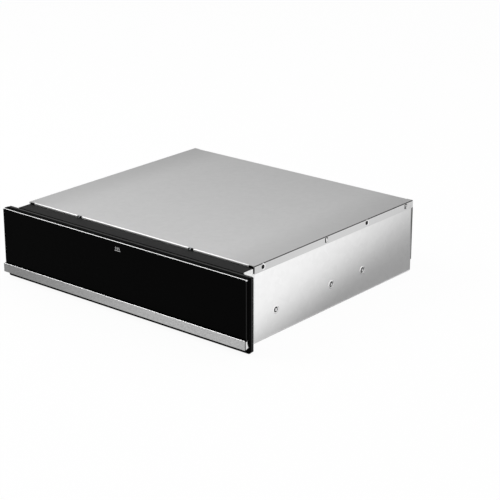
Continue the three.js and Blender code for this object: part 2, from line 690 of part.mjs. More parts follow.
// A flat panel outside the flanges, its edges turned back, with cooling slots and the cable inlet.
function rearPanel() {
  const plate = rectangle(-SIDE_OUT, SIDE_OUT, REAR_PANEL_BOTTOM, REAR_PANEL_TOP);
  const middle = (REAR_PANEL_BOTTOM + REAR_PANEL_TOP) / 2;
  for (const groupX of VENTS) {
    for (let i = 0; i < VENT_SLOTS; i += 1) {
      const x = groupX + (i - (VENT_SLOTS - 1) / 2) * VENT_PITCH;
      plate.holes.push(roundedRectangle(
        x - VENT_WIDTH / 2, x + VENT_WIDTH / 2, middle - VENT_LENGTH / 2, middle + VENT_LENGTH / 2,
        VENT_WIDTH / 2, THREE.Path,
      ));
    }
  }
  plate.holes.push(roundHole(INLET_X, INLET_Z, INLET_BODY, GAP));
  const rim = rectangle(-SIDE_OUT, SIDE_OUT, REAR_PANEL_BOTTOM, REAR_PANEL_TOP);
  rim.holes.push(new THREE.Path([
    point(-SIDE_OUT + SHEET, REAR_PANEL_BOTTOM + SHEET),
    point(-SIDE_OUT + SHEET, REAR_PANEL_TOP - SHEET),
    point(SIDE_OUT - SHEET, REAR_PANEL_TOP - SHEET),
    point(SIDE_OUT - SHEET, REAR_PANEL_BOTTOM + SHEET),
  ]));
  return join(
    sweepY(plate, REAR_PANEL_FRONT, REAR_PANEL_BACK, 1),
    sweepY(rim, REAR_PANEL_FRONT + SHEET / 2, OBJECT_BACK),
  );
}

function topCover() {
  const half = SHEET / 2;
  const flangeEnd = CASING_HEIGHT - COVER_FLANGE;
  const line = bentLine([
    point(-COVER_OUT + half, flangeEnd),
    point(-COVER_OUT + half, CASING_HEIGHT - half),
    point(COVER_OUT - half, CASING_HEIGHT - half),
    point(COVER_OUT - half, flangeEnd),
  ], BEND, COVER_BEND_STEPS);
  const flangeHalf = FLANGE_IN - GAP;
  const overlap = 2 * BEND;
  const flange = (faceY, height, into) => sweepX(sheetShape(bentLine([
    point(faceY + into, CASING_HEIGHT - half),
    point(faceY, CASING_HEIGHT - half),
    point(faceY, height),
  ], BEND, COVER_BEND_STEPS)), -flangeHalf, flangeHalf);
  const bendRoom = (y0, y1) => block(
    -flangeHalf, flangeHalf, y0, y1, CASING_HEIGHT - overlap, CASING_HEIGHT + SHEET,
  );
  const cover = join(
    cut(
      sweepY(sheetShape(line), CASING_FRONT, CASING_BACK),
      bendRoom(CASING_FRONT - SHEET, CASING_FRONT + half + BEND),
      bendRoom(CASING_BACK - half - BEND, CASING_BACK + SHEET),
    ),
    flange(CASING_FRONT + half, HOUSING_TOP + GAP, overlap),
    flange(CASING_BACK - half, CASING_HEIGHT - COVER_REAR_FLANGE, -overlap),
  );
  const notches = LIP_NOTCHES.map((x) => block(
    x - LIP_NOTCH_WIDTH / 2, x + LIP_NOTCH_WIDTH / 2,
    CASING_FRONT - SHEET, CASING_FRONT + LIP_NOTCH_DEPTH, HOUSING_TOP, CASING_HEIGHT + SHEET,
  ));
  return cut(cover, ...notches);
}

// The right-hand upright between door and casing. Its front edge turns out to form the ear that
// is screwed to the front edge of the cabinet.
function frontFrame() {
  const half = SHEET / 2;
  const top = HOUSING_TOP;
  const line = bentLine([
    point(SIDE_OUT - half, HOUSING_BACK),
    point(SIDE_OUT - half, FRAME_FRONT + half),
    point(SIDE_OUT + EAR_REACH, FRAME_FRONT + half),
  ]);
  const upright = sweepZ(sheetShape(line), 0, top);
  const earFrom = SIDE_OUT + BEND;
  const earTo = SIDE_OUT + EAR_REACH + SHEET;
  const slotX = SIDE_OUT + EAR_REACH / 2;
  const before = FRAME_FRONT - SHEET;
  const behind = FRAME_FRONT + 2 * SHEET;
  const slots = [EAR_SLOT_LOW, top - EAR_SLOT_HIGH].map((z) => sweepY(
    roundedRectangle(
      slotX - EAR_SLOT_WIDTH / 2, slotX + EAR_SLOT_WIDTH / 2,
      z - EAR_SLOT_LENGTH / 2, z + EAR_SLOT_LENGTH / 2, EAR_SLOT_WIDTH / 2 - GAP,
    ),
    before, behind, 3,
  ));
  return cut(
    upright,
    block(earFrom, earTo, before, behind, -SHEET, EAR_INSET),
    block(earFrom, earTo, before, behind, top - EAR_INSET, top + SHEET),
    block(
      SIDE_IN - SHEET, SIDE_OUT + SHEET, HOUSING_BACK - FRAME_NOTCH, HOUSING_BACK + SHEET,
      CASING_HEIGHT - COVER_FLANGE + SHEET, top + SHEET,
    ),
    ...slots,
    rodY(BUFFER_STEM_RADIUS + GAP, before, behind, slotX, BUFFER_HEIGHT),
  );
}

// A domed rubber pad whose stem plugs into the right-hand ear.
function doorBuffer() {
  const face = LINER_BACK + GAP;
  const seat = FRAME_FRONT - GAP;
  const stemEnd = FRAME_FRONT + SHEET + BUFFER_STEM_END;
  const profile = [
    point(0, face),
    point(BUFFER_CROWN_RADIUS, face),
    point(BUFFER_RADIUS, (face + seat) / 2),
    point(BUFFER_RADIUS, seat),
    point(BUFFER_STEM_RADIUS, seat),
    point(BUFFER_STEM_RADIUS, stemEnd),
    point(0, stemEnd),
  ];
  const pad = new THREE.LatheGeometry(profile, SMALL_ROUND_FACETS);
  return pad.translate(SIDE_OUT + EAR_REACH / 2, 0, BUFFER_HEIGHT);
}

// ---------------------------------------------------------------------------------------------
// Controls: housing, board, buttons, lens
// ---------------------------------------------------------------------------------------------

const CONTROL_Z = (HOUSING_BOTTOM + HOUSING_TOP) / 2;
const WALL_BACK = FRAME_FRONT + HOUSING_WALL;
const COLLAR_FRONT = WALL_BACK + GAP;
const COLLAR_BACK = COLLAR_FRONT + SHEET;
const STEM_BACK = COLLAR_BACK + BUTTON_STEM;
const SWITCH_FRONT = STEM_BACK + BUTTON_TRAVEL + GAP;
const BOARD_FRONT = SWITCH_FRONT + SWITCH_DEPTH;
const BOARD_BACK = BOARD_FRONT + BOARD_THICKNESS;

function buttonOutline(x, grow) {
  return roundedRectangle(
    x - BUTTON_WIDTH / 2 - grow, x + BUTTON_WIDTH / 2 + grow,
    CONTROL_Z - BUTTON_HEIGHT / 2 - grow, CONTROL_Z + BUTTON_HEIGHT / 2 + grow,
    BUTTON_CORNER + grow,
  );
}

function controlHousing() {
  const half = HOUSING_WALL / 2;
  const line = bentLine([
    point(FRAME_FRONT + HOUSING_FLOOR_DEPTH, HOUSING_BOTTOM + half),
    point(FRAME_FRONT + half, HOUSING_BOTTOM + half),
    point(FRAME_FRONT + half, HOUSING_TOP - half),
    point(HOUSING_BACK, HOUSING_TOP - half),
  ], HOUSING_WALL);
  const tabs = LIP_NOTCHES.map((x) => block(
    x - SCREW_TAB_WIDTH / 2, x + SCREW_TAB_WIDTH / 2,
    HOUSING_BACK - SHEET, HOUSING_BACK + SCREW_TAB_LENGTH, HOUSING_UNDER, HOUSING_TOP,
  ));
  const shell = join(
    sweepX(sheetShape(line, HOUSING_WALL), -INSIDE, INSIDE),
    block(-INSIDE, INSIDE, LINER_BACK + GAP, HOUSING_BACK, HOUSING_UNDER, HOUSING_TOP),
    ...tabs,
  );
  const before = FRAME_FRONT - SHEET;
  const behind = WALL_BACK + SHEET;
  return cut(
    shell,
    ...Object.values(BUTTONS).map((x) => sweepY(buttonOutline(x, GAP), before, behind, 2)),
    block(
      LENS_X - LENS_WIDTH / 2 - GAP, LENS_X + LENS_WIDTH / 2 + GAP, before, behind,
      CONTROL_Z - LENS_HEIGHT / 2 - GAP, CONTROL_Z + LENS_HEIGHT / 2 + GAP,
    ),
  );
}

function pushButton(x) {
  const front = FRAME_FRONT - BUTTON_PROUD;
  return join(
    sweepY(buttonOutline(x, 0), front, COLLAR_BACK, 2),
    sweepY(buttonOutline(x, BUTTON_COLLAR), COLLAR_FRONT, COLLAR_BACK, 2),
    rodY(BUTTON_STEM_RADIUS, COLLAR_BACK - SHEET / 2, STEM_BACK, x, CONTROL_Z),
  );
}

function indicatorLens() {
  const left = LENS_X - LENS_WIDTH / 2;
  const right = LENS_X + LENS_WIDTH / 2;
  const low = CONTROL_Z - LENS_HEIGHT / 2;
  const high = CONTROL_Z + LENS_HEIGHT / 2;
  return join(
    block(left, right, FRAME_FRONT, COLLAR_BACK, low, high),
    block(
      left - BUTTON_COLLAR, right + BUTTON_COLLAR, COLLAR_FRONT, COLLAR_BACK,
      low - BUTTON_COLLAR, high + BUTTON_COLLAR,
    ),
  );
}

function controlBoard() {
  const low = HOUSING_BOTTOM + HOUSING_WALL + GAP;
  const high = HOUSING_UNDER - GAP;
  const into = BOARD_THICKNESS / 2;
  const switches = Object.values(BUTTONS).map((x) => block(
    x - SWITCH_SIZE / 2, x + SWITCH_SIZE / 2, SWITCH_FRONT, BOARD_FRONT + into,
    CONTROL_Z - SWITCH_SIZE / 2, CONTROL_Z + SWITCH_SIZE / 2,
  ));
  const blocks = Object.values(BOARD_BLOCKS).map(([x, width, height, depth]) => block(
    x - width / 2, x + width / 2, BOARD_BACK - into, BOARD_BACK + depth,
    CONTROL_Z - height / 2, CONTROL_Z + height / 2,
  ));
  const capacitor = rodY(
    CAPACITOR_RADIUS, BOARD_BACK - into, BOARD_BACK + CAPACITOR_LENGTH, CAPACITOR_X, CONTROL_Z,
  );
  return join(
    block(BOARD_LEFT, BOARD_RIGHT, BOARD_FRONT, BOARD_BACK, low, high),
    ...switches, ...blocks, capacitor,
  );
}

// ---------------------------------------------------------------------------------------------
// Drawer box
// ---------------------------------------------------------------------------------------------

// The right-hand side: foot turned in under the floor, rim turned outwards.
function drawerSide() {
  const half = SHEET / 2;
  const line = bentLine([
    point(DRAWER_OUT - DRAWER_FOOT, DRAWER_BOTTOM + half),
    point(DRAWER_OUT - half, DRAWER_BOTTOM + half),
    point(DRAWER_OUT - half, DRAWER_TOP - half),
    point(DRAWER_OUT + DRAWER_RIM, DRAWER_TOP - half),
  ]);
  return sweepY(sheetShape(line), LINER_BACK + GAP, BOX_BACK + DRAWER_RIM);
}

function drawerFloor() {
  const half = SHEET / 2;
  const front = BOX_FRONT + SHEET + GAP + half;
  const back = BOX_BACK - SHEET - GAP - half;
  const line = bentLine([
    point(front, FLOOR_TOP + FLOOR_UPSTAND),
    point(front, FLOOR_BOTTOM + half),
    point(back, FLOOR_BOTTOM + half),
    point(back, FLOOR_TOP + FLOOR_UPSTAND),
  ]);
  return sweepX(sheetShape(line), -FLOOR_HALF, FLOOR_HALF);
}

function drawerFrontWall() {
  const half = SHEET / 2;
  const line = bentLine([
    point(BOX_FRONT + half, WALL_BOTTOM),
    point(BOX_FRONT + half, DRAWER_TOP - half),
    point(LINER_BACK + GAP, DRAWER_TOP - half),
  ]);
  return sweepX(sheetShape(line), -BOX_HALF, BOX_HALF);
}

// The rear wall, with a row of upright slots level with the blower's outlet.
function drawerRearWall() {
  const half = SHEET / 2;
  const line = bentLine([
    point(BOX_BACK - half, WALL_BOTTOM),
    point(BOX_BACK - half, DRAWER_TOP - half),
    point(BOX_BACK + DRAWER_RIM, DRAWER_TOP - half),
  ]);
  const pitch = FAN_LENGTH / SLOT_COUNT;
  const slots = Array.from({ length: SLOT_COUNT }, (_, i) => {
    const x = FAN_LEFT + pitch * (i + 0.5);
    return sweepY(
      roundedRectangle(
        x - SLOT_WIDTH / 2, x + SLOT_WIDTH / 2, OUTLET_BOTTOM, OUTLET_TOP, SLOT_WIDTH / 2 - GAP,
      ),
      BOX_BACK - 2 * SHEET, BOX_BACK + SHEET, 1,
    );
  });
  return cut(sweepX(sheetShape(line), -BOX_HALF, BOX_HALF), ...slots);
}

function drawerMat() {
  const front = BOX_FRONT + 2 * SHEET + GAP + MAT_MARGIN;
  const back = BOX_BACK - 2 * SHEET - GAP - MAT_MARGIN;
  const outline = roundedRectangle(
    -FLOOR_HALF + MAT_MARGIN, FLOOR_HALF - MAT_MARGIN, front, back, MAT_MARGIN,
  );
  return sweepZ(outline, FLOOR_TOP + GAP, FLOOR_TOP + GAP + MAT_THICKNESS, 3);
}

// The right-hand angle between the drawer's side and the door liner, with a bevelled arm.
function doorBracket() {
  const inner = DRAWER_OUT + GAP;
  const half = BRACKET_SHEET / 2;
  const face = LINER_BACK + GAP;
  const bottom = DRAWER_BOTTOM + GAP + SHEET;
  const top = DRAWER_TOP - BRACKET_DROP;
  const line = bentLine([
    point(inner + half, face + BRACKET_ARM),
    point(inner + half, face + half),
    point(inner + BRACKET_FOOT, face + half),
  ]);
  const bevel = new THREE.Shape([
    point(face + BRACKET_ARM / 2, top + SHEET),
    point(face + BRACKET_ARM + SHEET, top - BRACKET_ARM / 2),
    point(face + BRACKET_ARM + SHEET, top + SHEET),
  ]);
  return cut(
    sweepZ(sheetShape(line, BRACKET_SHEET), bottom, top),
    sweepX(bevel, inner - SHEET, inner + BRACKET_SHEET + SHEET),
  );
}

// ---------------------------------------------------------------------------------------------
// Ball runners. Sections are drawn with x as the depth from the casing side and y as the height
// over the centre line, for the upper half, and completed by their reflection in that line.
// ---------------------------------------------------------------------------------------------

const outerBall = point(OUTER_BALL_DEPTH, OUTER_BALL_HEIGHT);
const raceTilt = Math.acos(BALL_STEP / (RACE_OUTER + RACE_INNER));
const innerBall = point(
  INNER_BALL_DEPTH, OUTER_BALL_HEIGHT - (RACE_OUTER + RACE_INNER) * Math.sin(raceTilt),
);

// A full section from its upper half, which starts at the centre line.
function wholeSection(upperHalf) {
  const lowerHalf = upperHalf.slice(1).reverse().map((p) => point(p.x, -p.y));
  return [...lowerHalf, ...upperHalf.slice(1)];
}

// The casing member: a C whose lips hook over the outer balls.
function outerMemberLine() {
  const web = RUNNER_SHEET / 2;
  const top = outerBall.y + RACE_OUTER;
  const corner = bentLine([point(web, 0), point(web, top), point(outerBall.x, top)], RUNNER_BEND);
  return wholeSection([...corner.slice(0, -1), ...arcLine(outerBall, RACE_OUTER, 90, 10, 4)]);
}

// The middle member: each flange dips under an outer ball and rises over an inner one.
function middleMemberLine() {
  const tilt = THREE.MathUtils.radToDeg(raceTilt);
  const dip = arcLine(outerBall, RACE_OUTER, 240, 360 - tilt, 4);
  const rise = arcLine(innerBall, RACE_INNER, 180 - tilt, 40, 4);
  const bendTop = dip[0].y - MIDDLE_BEND * Math.sin(Math.PI / 3);
  const bend = arcLine(point(MIDDLE_WEB + MIDDLE_BEND, bendTop), MIDDLE_BEND, 180, 60, 4);
  return wholeSection([point(MIDDLE_WEB, 0), ...bend, ...dip.slice(1), ...rise.slice(1)]);
}

// The drawer member: a C facing the casing, whose lips hook under the inner balls.
function innerMemberLine() {
  const web = RUNNER_DEPTH - RUNNER_SHEET / 2;
  const top = innerBall.y - RACE_INNER;
  const corner = bentLine([point(web, 0), point(web, top), point(innerBall.x, top)], MIDDLE_BEND);
  return wholeSection([...corner.slice(0, -1), ...arcLine(innerBall, RACE_INNER, 270, 200, 4)]);
}

// From runner coordinates to the right-hand side of the object.
const placeRunner = (line) => line.map((p) => point(RUNNER_OUT - p.x, RUNNER_Z + p.y));

function runnerMember(line) {
  const section = sheetShape(placeRunner(line).reverse(), RUNNER_SHEET);
  return sweepY(section, RUNNER_FRONT, RUNNER_FRONT + RUNNER_LENGTH);
}

// A bent strip that spaces two rows of balls. Each ball is fused to the strip that holds it.
function ballCage(ball, ballRadius, webDepth) {
  const tabEnd = ball.x + ballRadius - RUNNING_GAP;
  const strip = bentLine([
    point(tabEnd, -ball.y), point(webDepth, -ball.y), point(webDepth, ball.y), point(tabEnd, ball.y),
  ], CAGE_SHEET, 1);
  const start = RUNNER_FRONT + (RUNNER_LENGTH - CAGE_LENGTH) / 2;
  const pitch = (CAGE_LENGTH - 2 * CAGE_END) / (CAGE_BALLS - 1);
  const pieces = [sweepY(
    sheetShape(placeRunner(strip).reverse(), CAGE_SHEET), start, start + CAGE_LENGTH,
  )];
  for (let i = 0; i < CAGE_BALLS; i += 1) {
    for (const side of [-1, 1]) {
      const sphere = new THREE.SphereGeometry(ballRadius, BALL_FACETS, BALL_RINGS);
      pieces.push(sphere.translate(
        RUNNER_OUT - ball.x, start + CAGE_END + pitch * i, RUNNER_Z + side * ball.y,
      ));
    }
  }
  return join(...pieces);
}

const outerCage = () => (
  ballCage(outerBall, OUTER_BALL_RADIUS, RUNNER_SHEET + MIDDLE_CLEARANCE / 2)
);

const innerCage = () => (
  ballCage(innerBall, INNER_BALL_RADIUS, MIDDLE_WEB + RUNNER_SHEET / 2 + CAGE_CLEARANCE)
);

// ---------------------------------------------------------------------------------------------
// Blower bay: bulkhead, scroll, wheel, motor, heater
// ---------------------------------------------------------------------------------------------

function bulkhead() {
  const half = SHEET / 2;
  const bottom = TRAY_TOP + GAP;
  const top = SIDE_TOP - SHEET - GAP;
  const line = bentLine([
    point(BULKHEAD_FRONT + BULKHEAD_FOOT, bottom + half),
    point(BULKHEAD_FRONT + half, bottom + half),
    point(BULKHEAD_FRONT + half, top - half),
    point(BULKHEAD_FRONT + BULKHEAD_FOOT, top - half),
  ]);
  const before = BULKHEAD_FRONT - SHEET;
  const behind = BULKHEAD_BACK + SHEET;
  const beadRoom = (x) => block(
    x - TRAY_BEAD_WIDTH / 2 - SHEET, x + TRAY_BEAD_WIDTH / 2 + SHEET,
    before, BULKHEAD_FRONT + BULKHEAD_FOOT + SHEET, 0, TRAY_TOP + TRAY_BEAD_HEIGHT + SHEET,
  );
  return cut(
    sweepX(sheetShape(line), -INSIDE_BENDS, INSIDE_BENDS),
    block(PLATE_LEFT, PLATE_RIGHT, before, behind, OUTLET_BOTTOM, OUTLET_TOP),
    rodY(LOOM_RADIUS + 1, before, behind, LOOM_X, CONTROL_Z),
    beadRoom(-TRAY_BEAD_X),
    beadRoom(TRAY_BEAD_X),
  );
}

// The spiral wall that starts under the wheel, passes behind it and ends as the outlet's roof.
function blowerScroll() {
  const line = Array.from({ length: SCROLL_STEPS + 1 }, (_, s) => {
    const degrees = SCROLL_START + (SCROLL_END - SCROLL_START) * s / SCROLL_STEPS;
    const angle = THREE.MathUtils.degToRad(degrees);
    const radius = FAN_RADIUS + scrollGap(degrees);
    return point(FAN_Y + radius * Math.cos(angle), FAN_Z + radius * Math.sin(angle));
  });
  line.push(point(BULKHEAD_BACK + GAP, SCROLL_TOP));
  return sweepX(sheetShape(line), PLATE_LEFT + GAP, PLATE_RIGHT - GAP);
}

// The outlet's floor, hooked down in front of the wheel.
function blowerTongue() {
  const clear = FAN_RADIUS + TONGUE_GAP + SHEET / 2;
  const tipY = FAN_Y - Math.sqrt(clear ** 2 - TONGUE_Z ** 2);
  const hookZ = TONGUE_Z - TONGUE_HOOK;
  const hookY = FAN_Y - Math.sqrt(clear ** 2 - hookZ ** 2);
  const line = [
    point(BULKHEAD_BACK + GAP, FAN_Z + TONGUE_Z),
    point(tipY, FAN_Z + TONGUE_Z),
    point(hookY, FAN_Z + hookZ),
  ];
  return sweepX(sheetShape(line), PLATE_LEFT + GAP, PLATE_RIGHT - GAP);
}

function endPlateOutline(shaftRadius) {
  const outline = roundedRectangle(
    BULKHEAD_BACK + GAP, FAN_Y + FAN_REACH,
    FAN_Z - FAN_RADIUS - SCROLL_START_GAP - END_PLATE_MARGIN, SCROLL_TOP + END_PLATE_MARGIN, BEND,
  );
  outline.holes.push(roundHole(FAN_Y, FAN_Z, shaftRadius, GAP));
  return outline;
}

function endPlateFoot(x0, x1) {
  const front = BULKHEAD_BACK + GAP;
  return block(
    x0, x1, front, front + END_PLATE, FAN_Z - FAN_RADIUS, SCROLL_TOP,
  );
}

function blowerEndPlateLeft() {
  const left = PLATE_LEFT - END_PLATE;
  return join(
    sweepX(endPlateOutline(BUSH_RADIUS), left, PLATE_LEFT, 2),
    endPlateFoot(left - END_PLATE_FOOT, PLATE_LEFT - END_PLATE / 2),
  );
}

// The motor's end plate also carries the posts for the stack, and lets the heater's ends out.
function blowerEndPlateRight() {
  const right = PLATE_RIGHT + END_PLATE;
  const outline = endPlateOutline(2 * SHAFT_RADIUS);
  for (const y of [HEATER_Y, HEATER_Y + HEATER_PITCH]) {
    outline.holes.push(roundHole(y, HEATER_Z, HEATER_RADIUS, GAP, SMALL_ROUND_FACETS));
  }
  const posts = stackPosts(right - END_PLATE / 2, STACK_LEFT - GAP);
  const foot = endPlateFoot(PLATE_RIGHT + END_PLATE / 2, right + END_PLATE_FOOT / 2);
  const heaterRoom = block(
    PLATE_RIGHT, right + END_PLATE_FOOT, BULKHEAD_BACK, BULKHEAD_BACK + 2 * END_PLATE,
    HEATER_Z - 2 * HEATER_RADIUS, HEATER_Z + 2 * HEATER_RADIUS,
  );
  return join(sweepX(outline, PLATE_RIGHT, right, 2), cut(foot, heaterRoom), ...posts);
}

function stackPosts(x0, x1) {
  const y = STACK_HALF_WIDTH - 2 * POST_RADIUS;
  const low = FAN_Z - STACK_BELOW + 2 * POST_RADIUS;
  const high = FAN_Z + STACK_BELOW - 2 * POST_RADIUS;
  return [[-y, low], [y, low], [-y, high], [y, high]].map(
    ([dy, z]) => rodX(POST_RADIUS, x0, x1, FAN_Y + dy, z),
  );
}

// Forward-curved blades between two end discs, with a support disc half way.
function fanWheel() {
  const centre = point(0, 0);
  const blade = Array.from({ length: FAN_BLADE_STEPS + 1 }, (_, s) => {
    const t = s / FAN_BLADE_STEPS;
    const radius = FAN_BLADE_INNER + (FAN_RADIUS - FAN_BLADE_INNER) * t;
    const angle = FAN_BLADE_SWEEP * t * t;
    return point(radius * Math.cos(angle), radius * Math.sin(angle));
  });
  const pieces = [];
  const rim = FAN_RADIUS + FAN_BLADE_THICKNESS;
  for (const x of [FAN_LEFT, FAN_X - FAN_DISC / 2, FAN_RIGHT - FAN_DISC]) {
    pieces.push(rodX(rim, x, x + FAN_DISC, 0, 0, ROUND_FACETS));
  }
  for (let i = 0; i < FAN_BLADES; i += 1) {
    const turn = 2 * Math.PI * i / FAN_BLADES;
    const turned = blade.map((p) => p.clone().rotateAround(centre, turn));
    pieces.push(sweepX(
      sheetShape(turned, FAN_BLADE_THICKNESS), FAN_LEFT + FAN_DISC / 2, FAN_RIGHT - FAN_DISC / 2,
    ));
  }
  pieces.push(rodX(SHAFT_RADIUS, PLATE_LEFT - SHAFT_END, FAN_LEFT + FAN_DISC, 0, 0));
  const socket = rodX(SHAFT_RADIUS + GAP, FAN_RIGHT - 2 * FAN_DISC, FAN_RIGHT + FAN_DISC, 0, 0);
  return cut(join(...pieces), socket).translate(0, FAN_Y, FAN_Z);
}

// The flanged bush that carries the wheel's left end.
function fanBearing() {
  const bore = boreRadius(SHAFT_RADIUS, RUNNING_GAP, SMALL_ROUND_FACETS);
  const inner = PLATE_LEFT + GAP;
  const seat = PLATE_LEFT - END_PLATE - GAP;
  const outer = seat - BUSH_FLANGE;
  const profile = [
    point(bore, inner),
    point(bore, outer),
    point(BUSH_RADIUS + BUSH_FLANGE, outer),
    point(BUSH_RADIUS + BUSH_FLANGE, seat),
    point(BUSH_RADIUS, seat),
    point(BUSH_RADIUS, inner),
    point(bore, inner),
  ];
  const bush = new THREE.LatheGeometry(profile, SMALL_ROUND_FACETS);
  return bush.rotateZ(-Math.PI / 2).translate(0, FAN_Y, FAN_Z);
}

// Laminated iron: a rotor bore at one end, a window, and the leg that carries the coil.
function motorStator() {
  const stack = rectangle(
    FAN_Y - STACK_HALF_WIDTH, FAN_Y + STACK_HALF_WIDTH, FAN_Z - STACK_BELOW, LEG_TOP,
  );
  stack.holes.push(roundHole(FAN_Y, FAN_Z, ROTOR_RADIUS, ROTOR_GAP));
  stack.holes.push(new THREE.Path([
    point(FAN_Y - STACK_WINDOW_HALF_WIDTH, FAN_Z + STACK_WINDOW_RISE),
    point(FAN_Y - STACK_WINDOW_HALF_WIDTH, LEG_BOTTOM),
    point(FAN_Y + STACK_WINDOW_HALF_WIDTH, LEG_BOTTOM),
    point(FAN_Y + STACK_WINDOW_HALF_WIDTH, FAN_Z + STACK_WINDOW_RISE),
  ]));
  return sweepX(stack, STACK_LEFT, STACK_RIGHT);
}

function motorCoil() {
  const build = STACK_WINDOW_HEIGHT - COIL_CLEARANCE;
  const half = STACK_WINDOW_HALF_WIDTH - COIL_CLEARANCE;
  const winding = roundedRectangle(
    STACK_LEFT - COIL_OVERHANG, STACK_RIGHT + COIL_OVERHANG,
    LEG_BOTTOM - build, LEG_TOP + build, COIL_OVERHANG / 2,
  );
  winding.holes.push(new THREE.Path([
    point(STACK_LEFT - GAP, LEG_BOTTOM - GAP),
    point(STACK_LEFT - GAP, LEG_TOP + GAP),
    point(STACK_RIGHT + GAP, LEG_TOP + GAP),
    point(STACK_RIGHT + GAP, LEG_BOTTOM - GAP),
  ]));
  return sweepY(winding, FAN_Y - half, FAN_Y + half, 2);
}

// Rotor and shaft in one: the shaft's inner end drives the wheel.
function motorRotor() {
  const inner = FAN_RIGHT - 2 * FAN_DISC + GAP;
  const outer = BEARING_PLATE_LEFT + END_PLATE + BEARING_BOSS + ROTOR_SHAFT_END;
  return join(
    rodX(ROTOR_RADIUS, STACK_LEFT - GAP, STACK_RIGHT + GAP, FAN_Y, FAN_Z, ROUND_FACETS),
    rodX(SHAFT_RADIUS, inner, outer, FAN_Y, FAN_Z),
  );
}

function motorBearingPlate() {
  const right = BEARING_PLATE_LEFT + END_PLATE;
  const boss = right + BEARING_BOSS;
  const bore = boreRadius(SHAFT_RADIUS, RUNNING_GAP, SMALL_ROUND_FACETS);
  const plate = roundedRectangle(
    FAN_Y - STACK_HALF_WIDTH, FAN_Y + STACK_HALF_WIDTH, FAN_Z - STACK_BELOW, FAN_Z + STACK_BELOW,
    POST_RADIUS,
  );
  const body = join(
    sweepX(plate, BEARING_PLATE_LEFT, right, 2),
    rodX(BUSH_RADIUS, BEARING_PLATE_LEFT, boss, FAN_Y, FAN_Z),
    ...stackPosts(STACK_RIGHT + GAP, BEARING_PLATE_LEFT + END_PLATE / 2),
  );
  return cut(body, rodX(bore, BEARING_PLATE_LEFT - SHEET, boss + SHEET, FAN_Y, FAN_Z));
}

// A sheathed hairpin across the outlet, with its cold ends through the motor's end plate.
function heaterElement() {
  const bendRadius = HEATER_PITCH / 2;
  const left = PLATE_LEFT + bendRadius + HEATER_RADIUS + HEATER_END_SPACE;
  const right = PLATE_RIGHT + END_PLATE + HEATER_END;
  const middleY = HEATER_Y + bendRadius;
  const turn = arcLine(point(left, middleY), bendRadius, 90, 270, HAIRPIN_STEPS);
  const bend = new THREE.CatmullRomCurve3(turn.map((p) => new THREE.Vector3(p.x, p.y, HEATER_Z)));
  const section = new THREE.Shape(circle(point(0, 0), HEATER_RADIUS, SMALL_ROUND_FACETS));
  const legs = [HEATER_Y, HEATER_Y + HEATER_PITCH].flatMap((y) => [
    rodX(HEATER_RADIUS, left - GAP, right, y, HEATER_Z),
    rodX(HEATER_PIN_RADIUS, right - SHEET, right + HEATER_PIN, y, HEATER_Z),
  ]);
  return join(
    new THREE.ExtrudeGeometry(section, { steps: HAIRPIN_STEPS, extrudePath: bend }), ...legs,
  );
}

// A disc thermostat on the bulkhead beside the outlet, with two blade terminals.
function thermalCutout() {
  const face = BULKHEAD_BACK + GAP;
  const flange = face + CUTOUT_FLANGE;
  const cap = flange + CUTOUT_CAP;
  const x = PLATE_LEFT - END_PLATE - END_PLATE_FOOT - CUTOUT_RADIUS - 2 * SHEET;
  const blades = [-1, 1].map((side) => {
    const z = HEATER_Z + side * CUTOUT_CAP_RADIUS / 2;
    return block(
      x - CUTOUT_BLADE_WIDTH / 2, x + CUTOUT_BLADE_WIDTH / 2, cap - SHEET, cap + CUTOUT_BLADE,
      z - SHEET / 2, z + SHEET / 2,
    );
  });
  return join(
    rodY(CUTOUT_RADIUS, face, flange, x, HEATER_Z, ROUND_FACETS),
    rodY(CUTOUT_CAP_RADIUS, flange - SHEET, cap, x, HEATER_Z, ROUND_FACETS),
    ...blades,
  );
}

// ---------------------------------------------------------------------------------------------
// Mains connection
// ---------------------------------------------------------------------------------------------

function terminalBlock() {
  const bottom = TRAY_TOP + GAP;
  const top = bottom + TERMINAL_HEIGHT;
  const left = INLET_X - TERMINAL_WIDTH / 2;
  const front = TERMINAL_BACK - TERMINAL_DEPTH;
  const pitch = TERMINAL_WIDTH / TERMINAL_POLES;
  const wells = Array.from({ length: TERMINAL_POLES }, (_, i) => rodZ(
    TERMINAL_WELL_RADIUS, top - TERMINAL_WELL_DEPTH, top + SHEET, left + pitch * (i + 0.5),
    TERMINAL_BACK - TERMINAL_WELL_INSET,
  ));
  return cut(block(left, left + TERMINAL_WIDTH, front, TERMINAL_BACK, bottom, top), ...wells);
}

// A flanged bush in the rear panel, with the clear bore that the supply cord passes.
function cableInlet() {
  const face = REAR_PANEL_BACK + GAP;
  const inner = OBJECT_BACK - INLET_LENGTH;
  const profile = [
    point(INLET_BORE, inner),
    point(INLET_BODY, inner),
    point(INLET_BODY, face),
    point(INLET_FLANGE, face),
    point(INLET_FLANGE, OBJECT_BACK),
    point(INLET_BORE, OBJECT_BACK),
    point(INLET_BORE, inner),
  ];
  return new THREE.LatheGeometry(profile, ROUND_FACETS).translate(INLET_X, 0, INLET_Z);
}

// From the terminal block up, forward under the cover, and across to the control board.
function wiringLoom() {
  const spot = (x, y, z) => new THREE.Vector3(x, y, z);
  const top = TRAY_TOP + GAP + TERMINAL_HEIGHT;
  const inHousing = BOARD_BACK + 2 * LOOM_RADIUS;
  return cable([
    spot(LOOM_X, TERMINAL_Y, top + GAP),
    spot(LOOM_X, TERMINAL_Y, CONTROL_Z),
    spot(LOOM_X, inHousing, CONTROL_Z),
    spot(BOARD_LEFT - GAP, inHousing, CONTROL_Z),
  ], LOOM_RADIUS, LOOM_BEND, LOOM_STEPS);
}

// ---------------------------------------------------------------------------------------------
// Assembly
// ---------------------------------------------------------------------------------------------

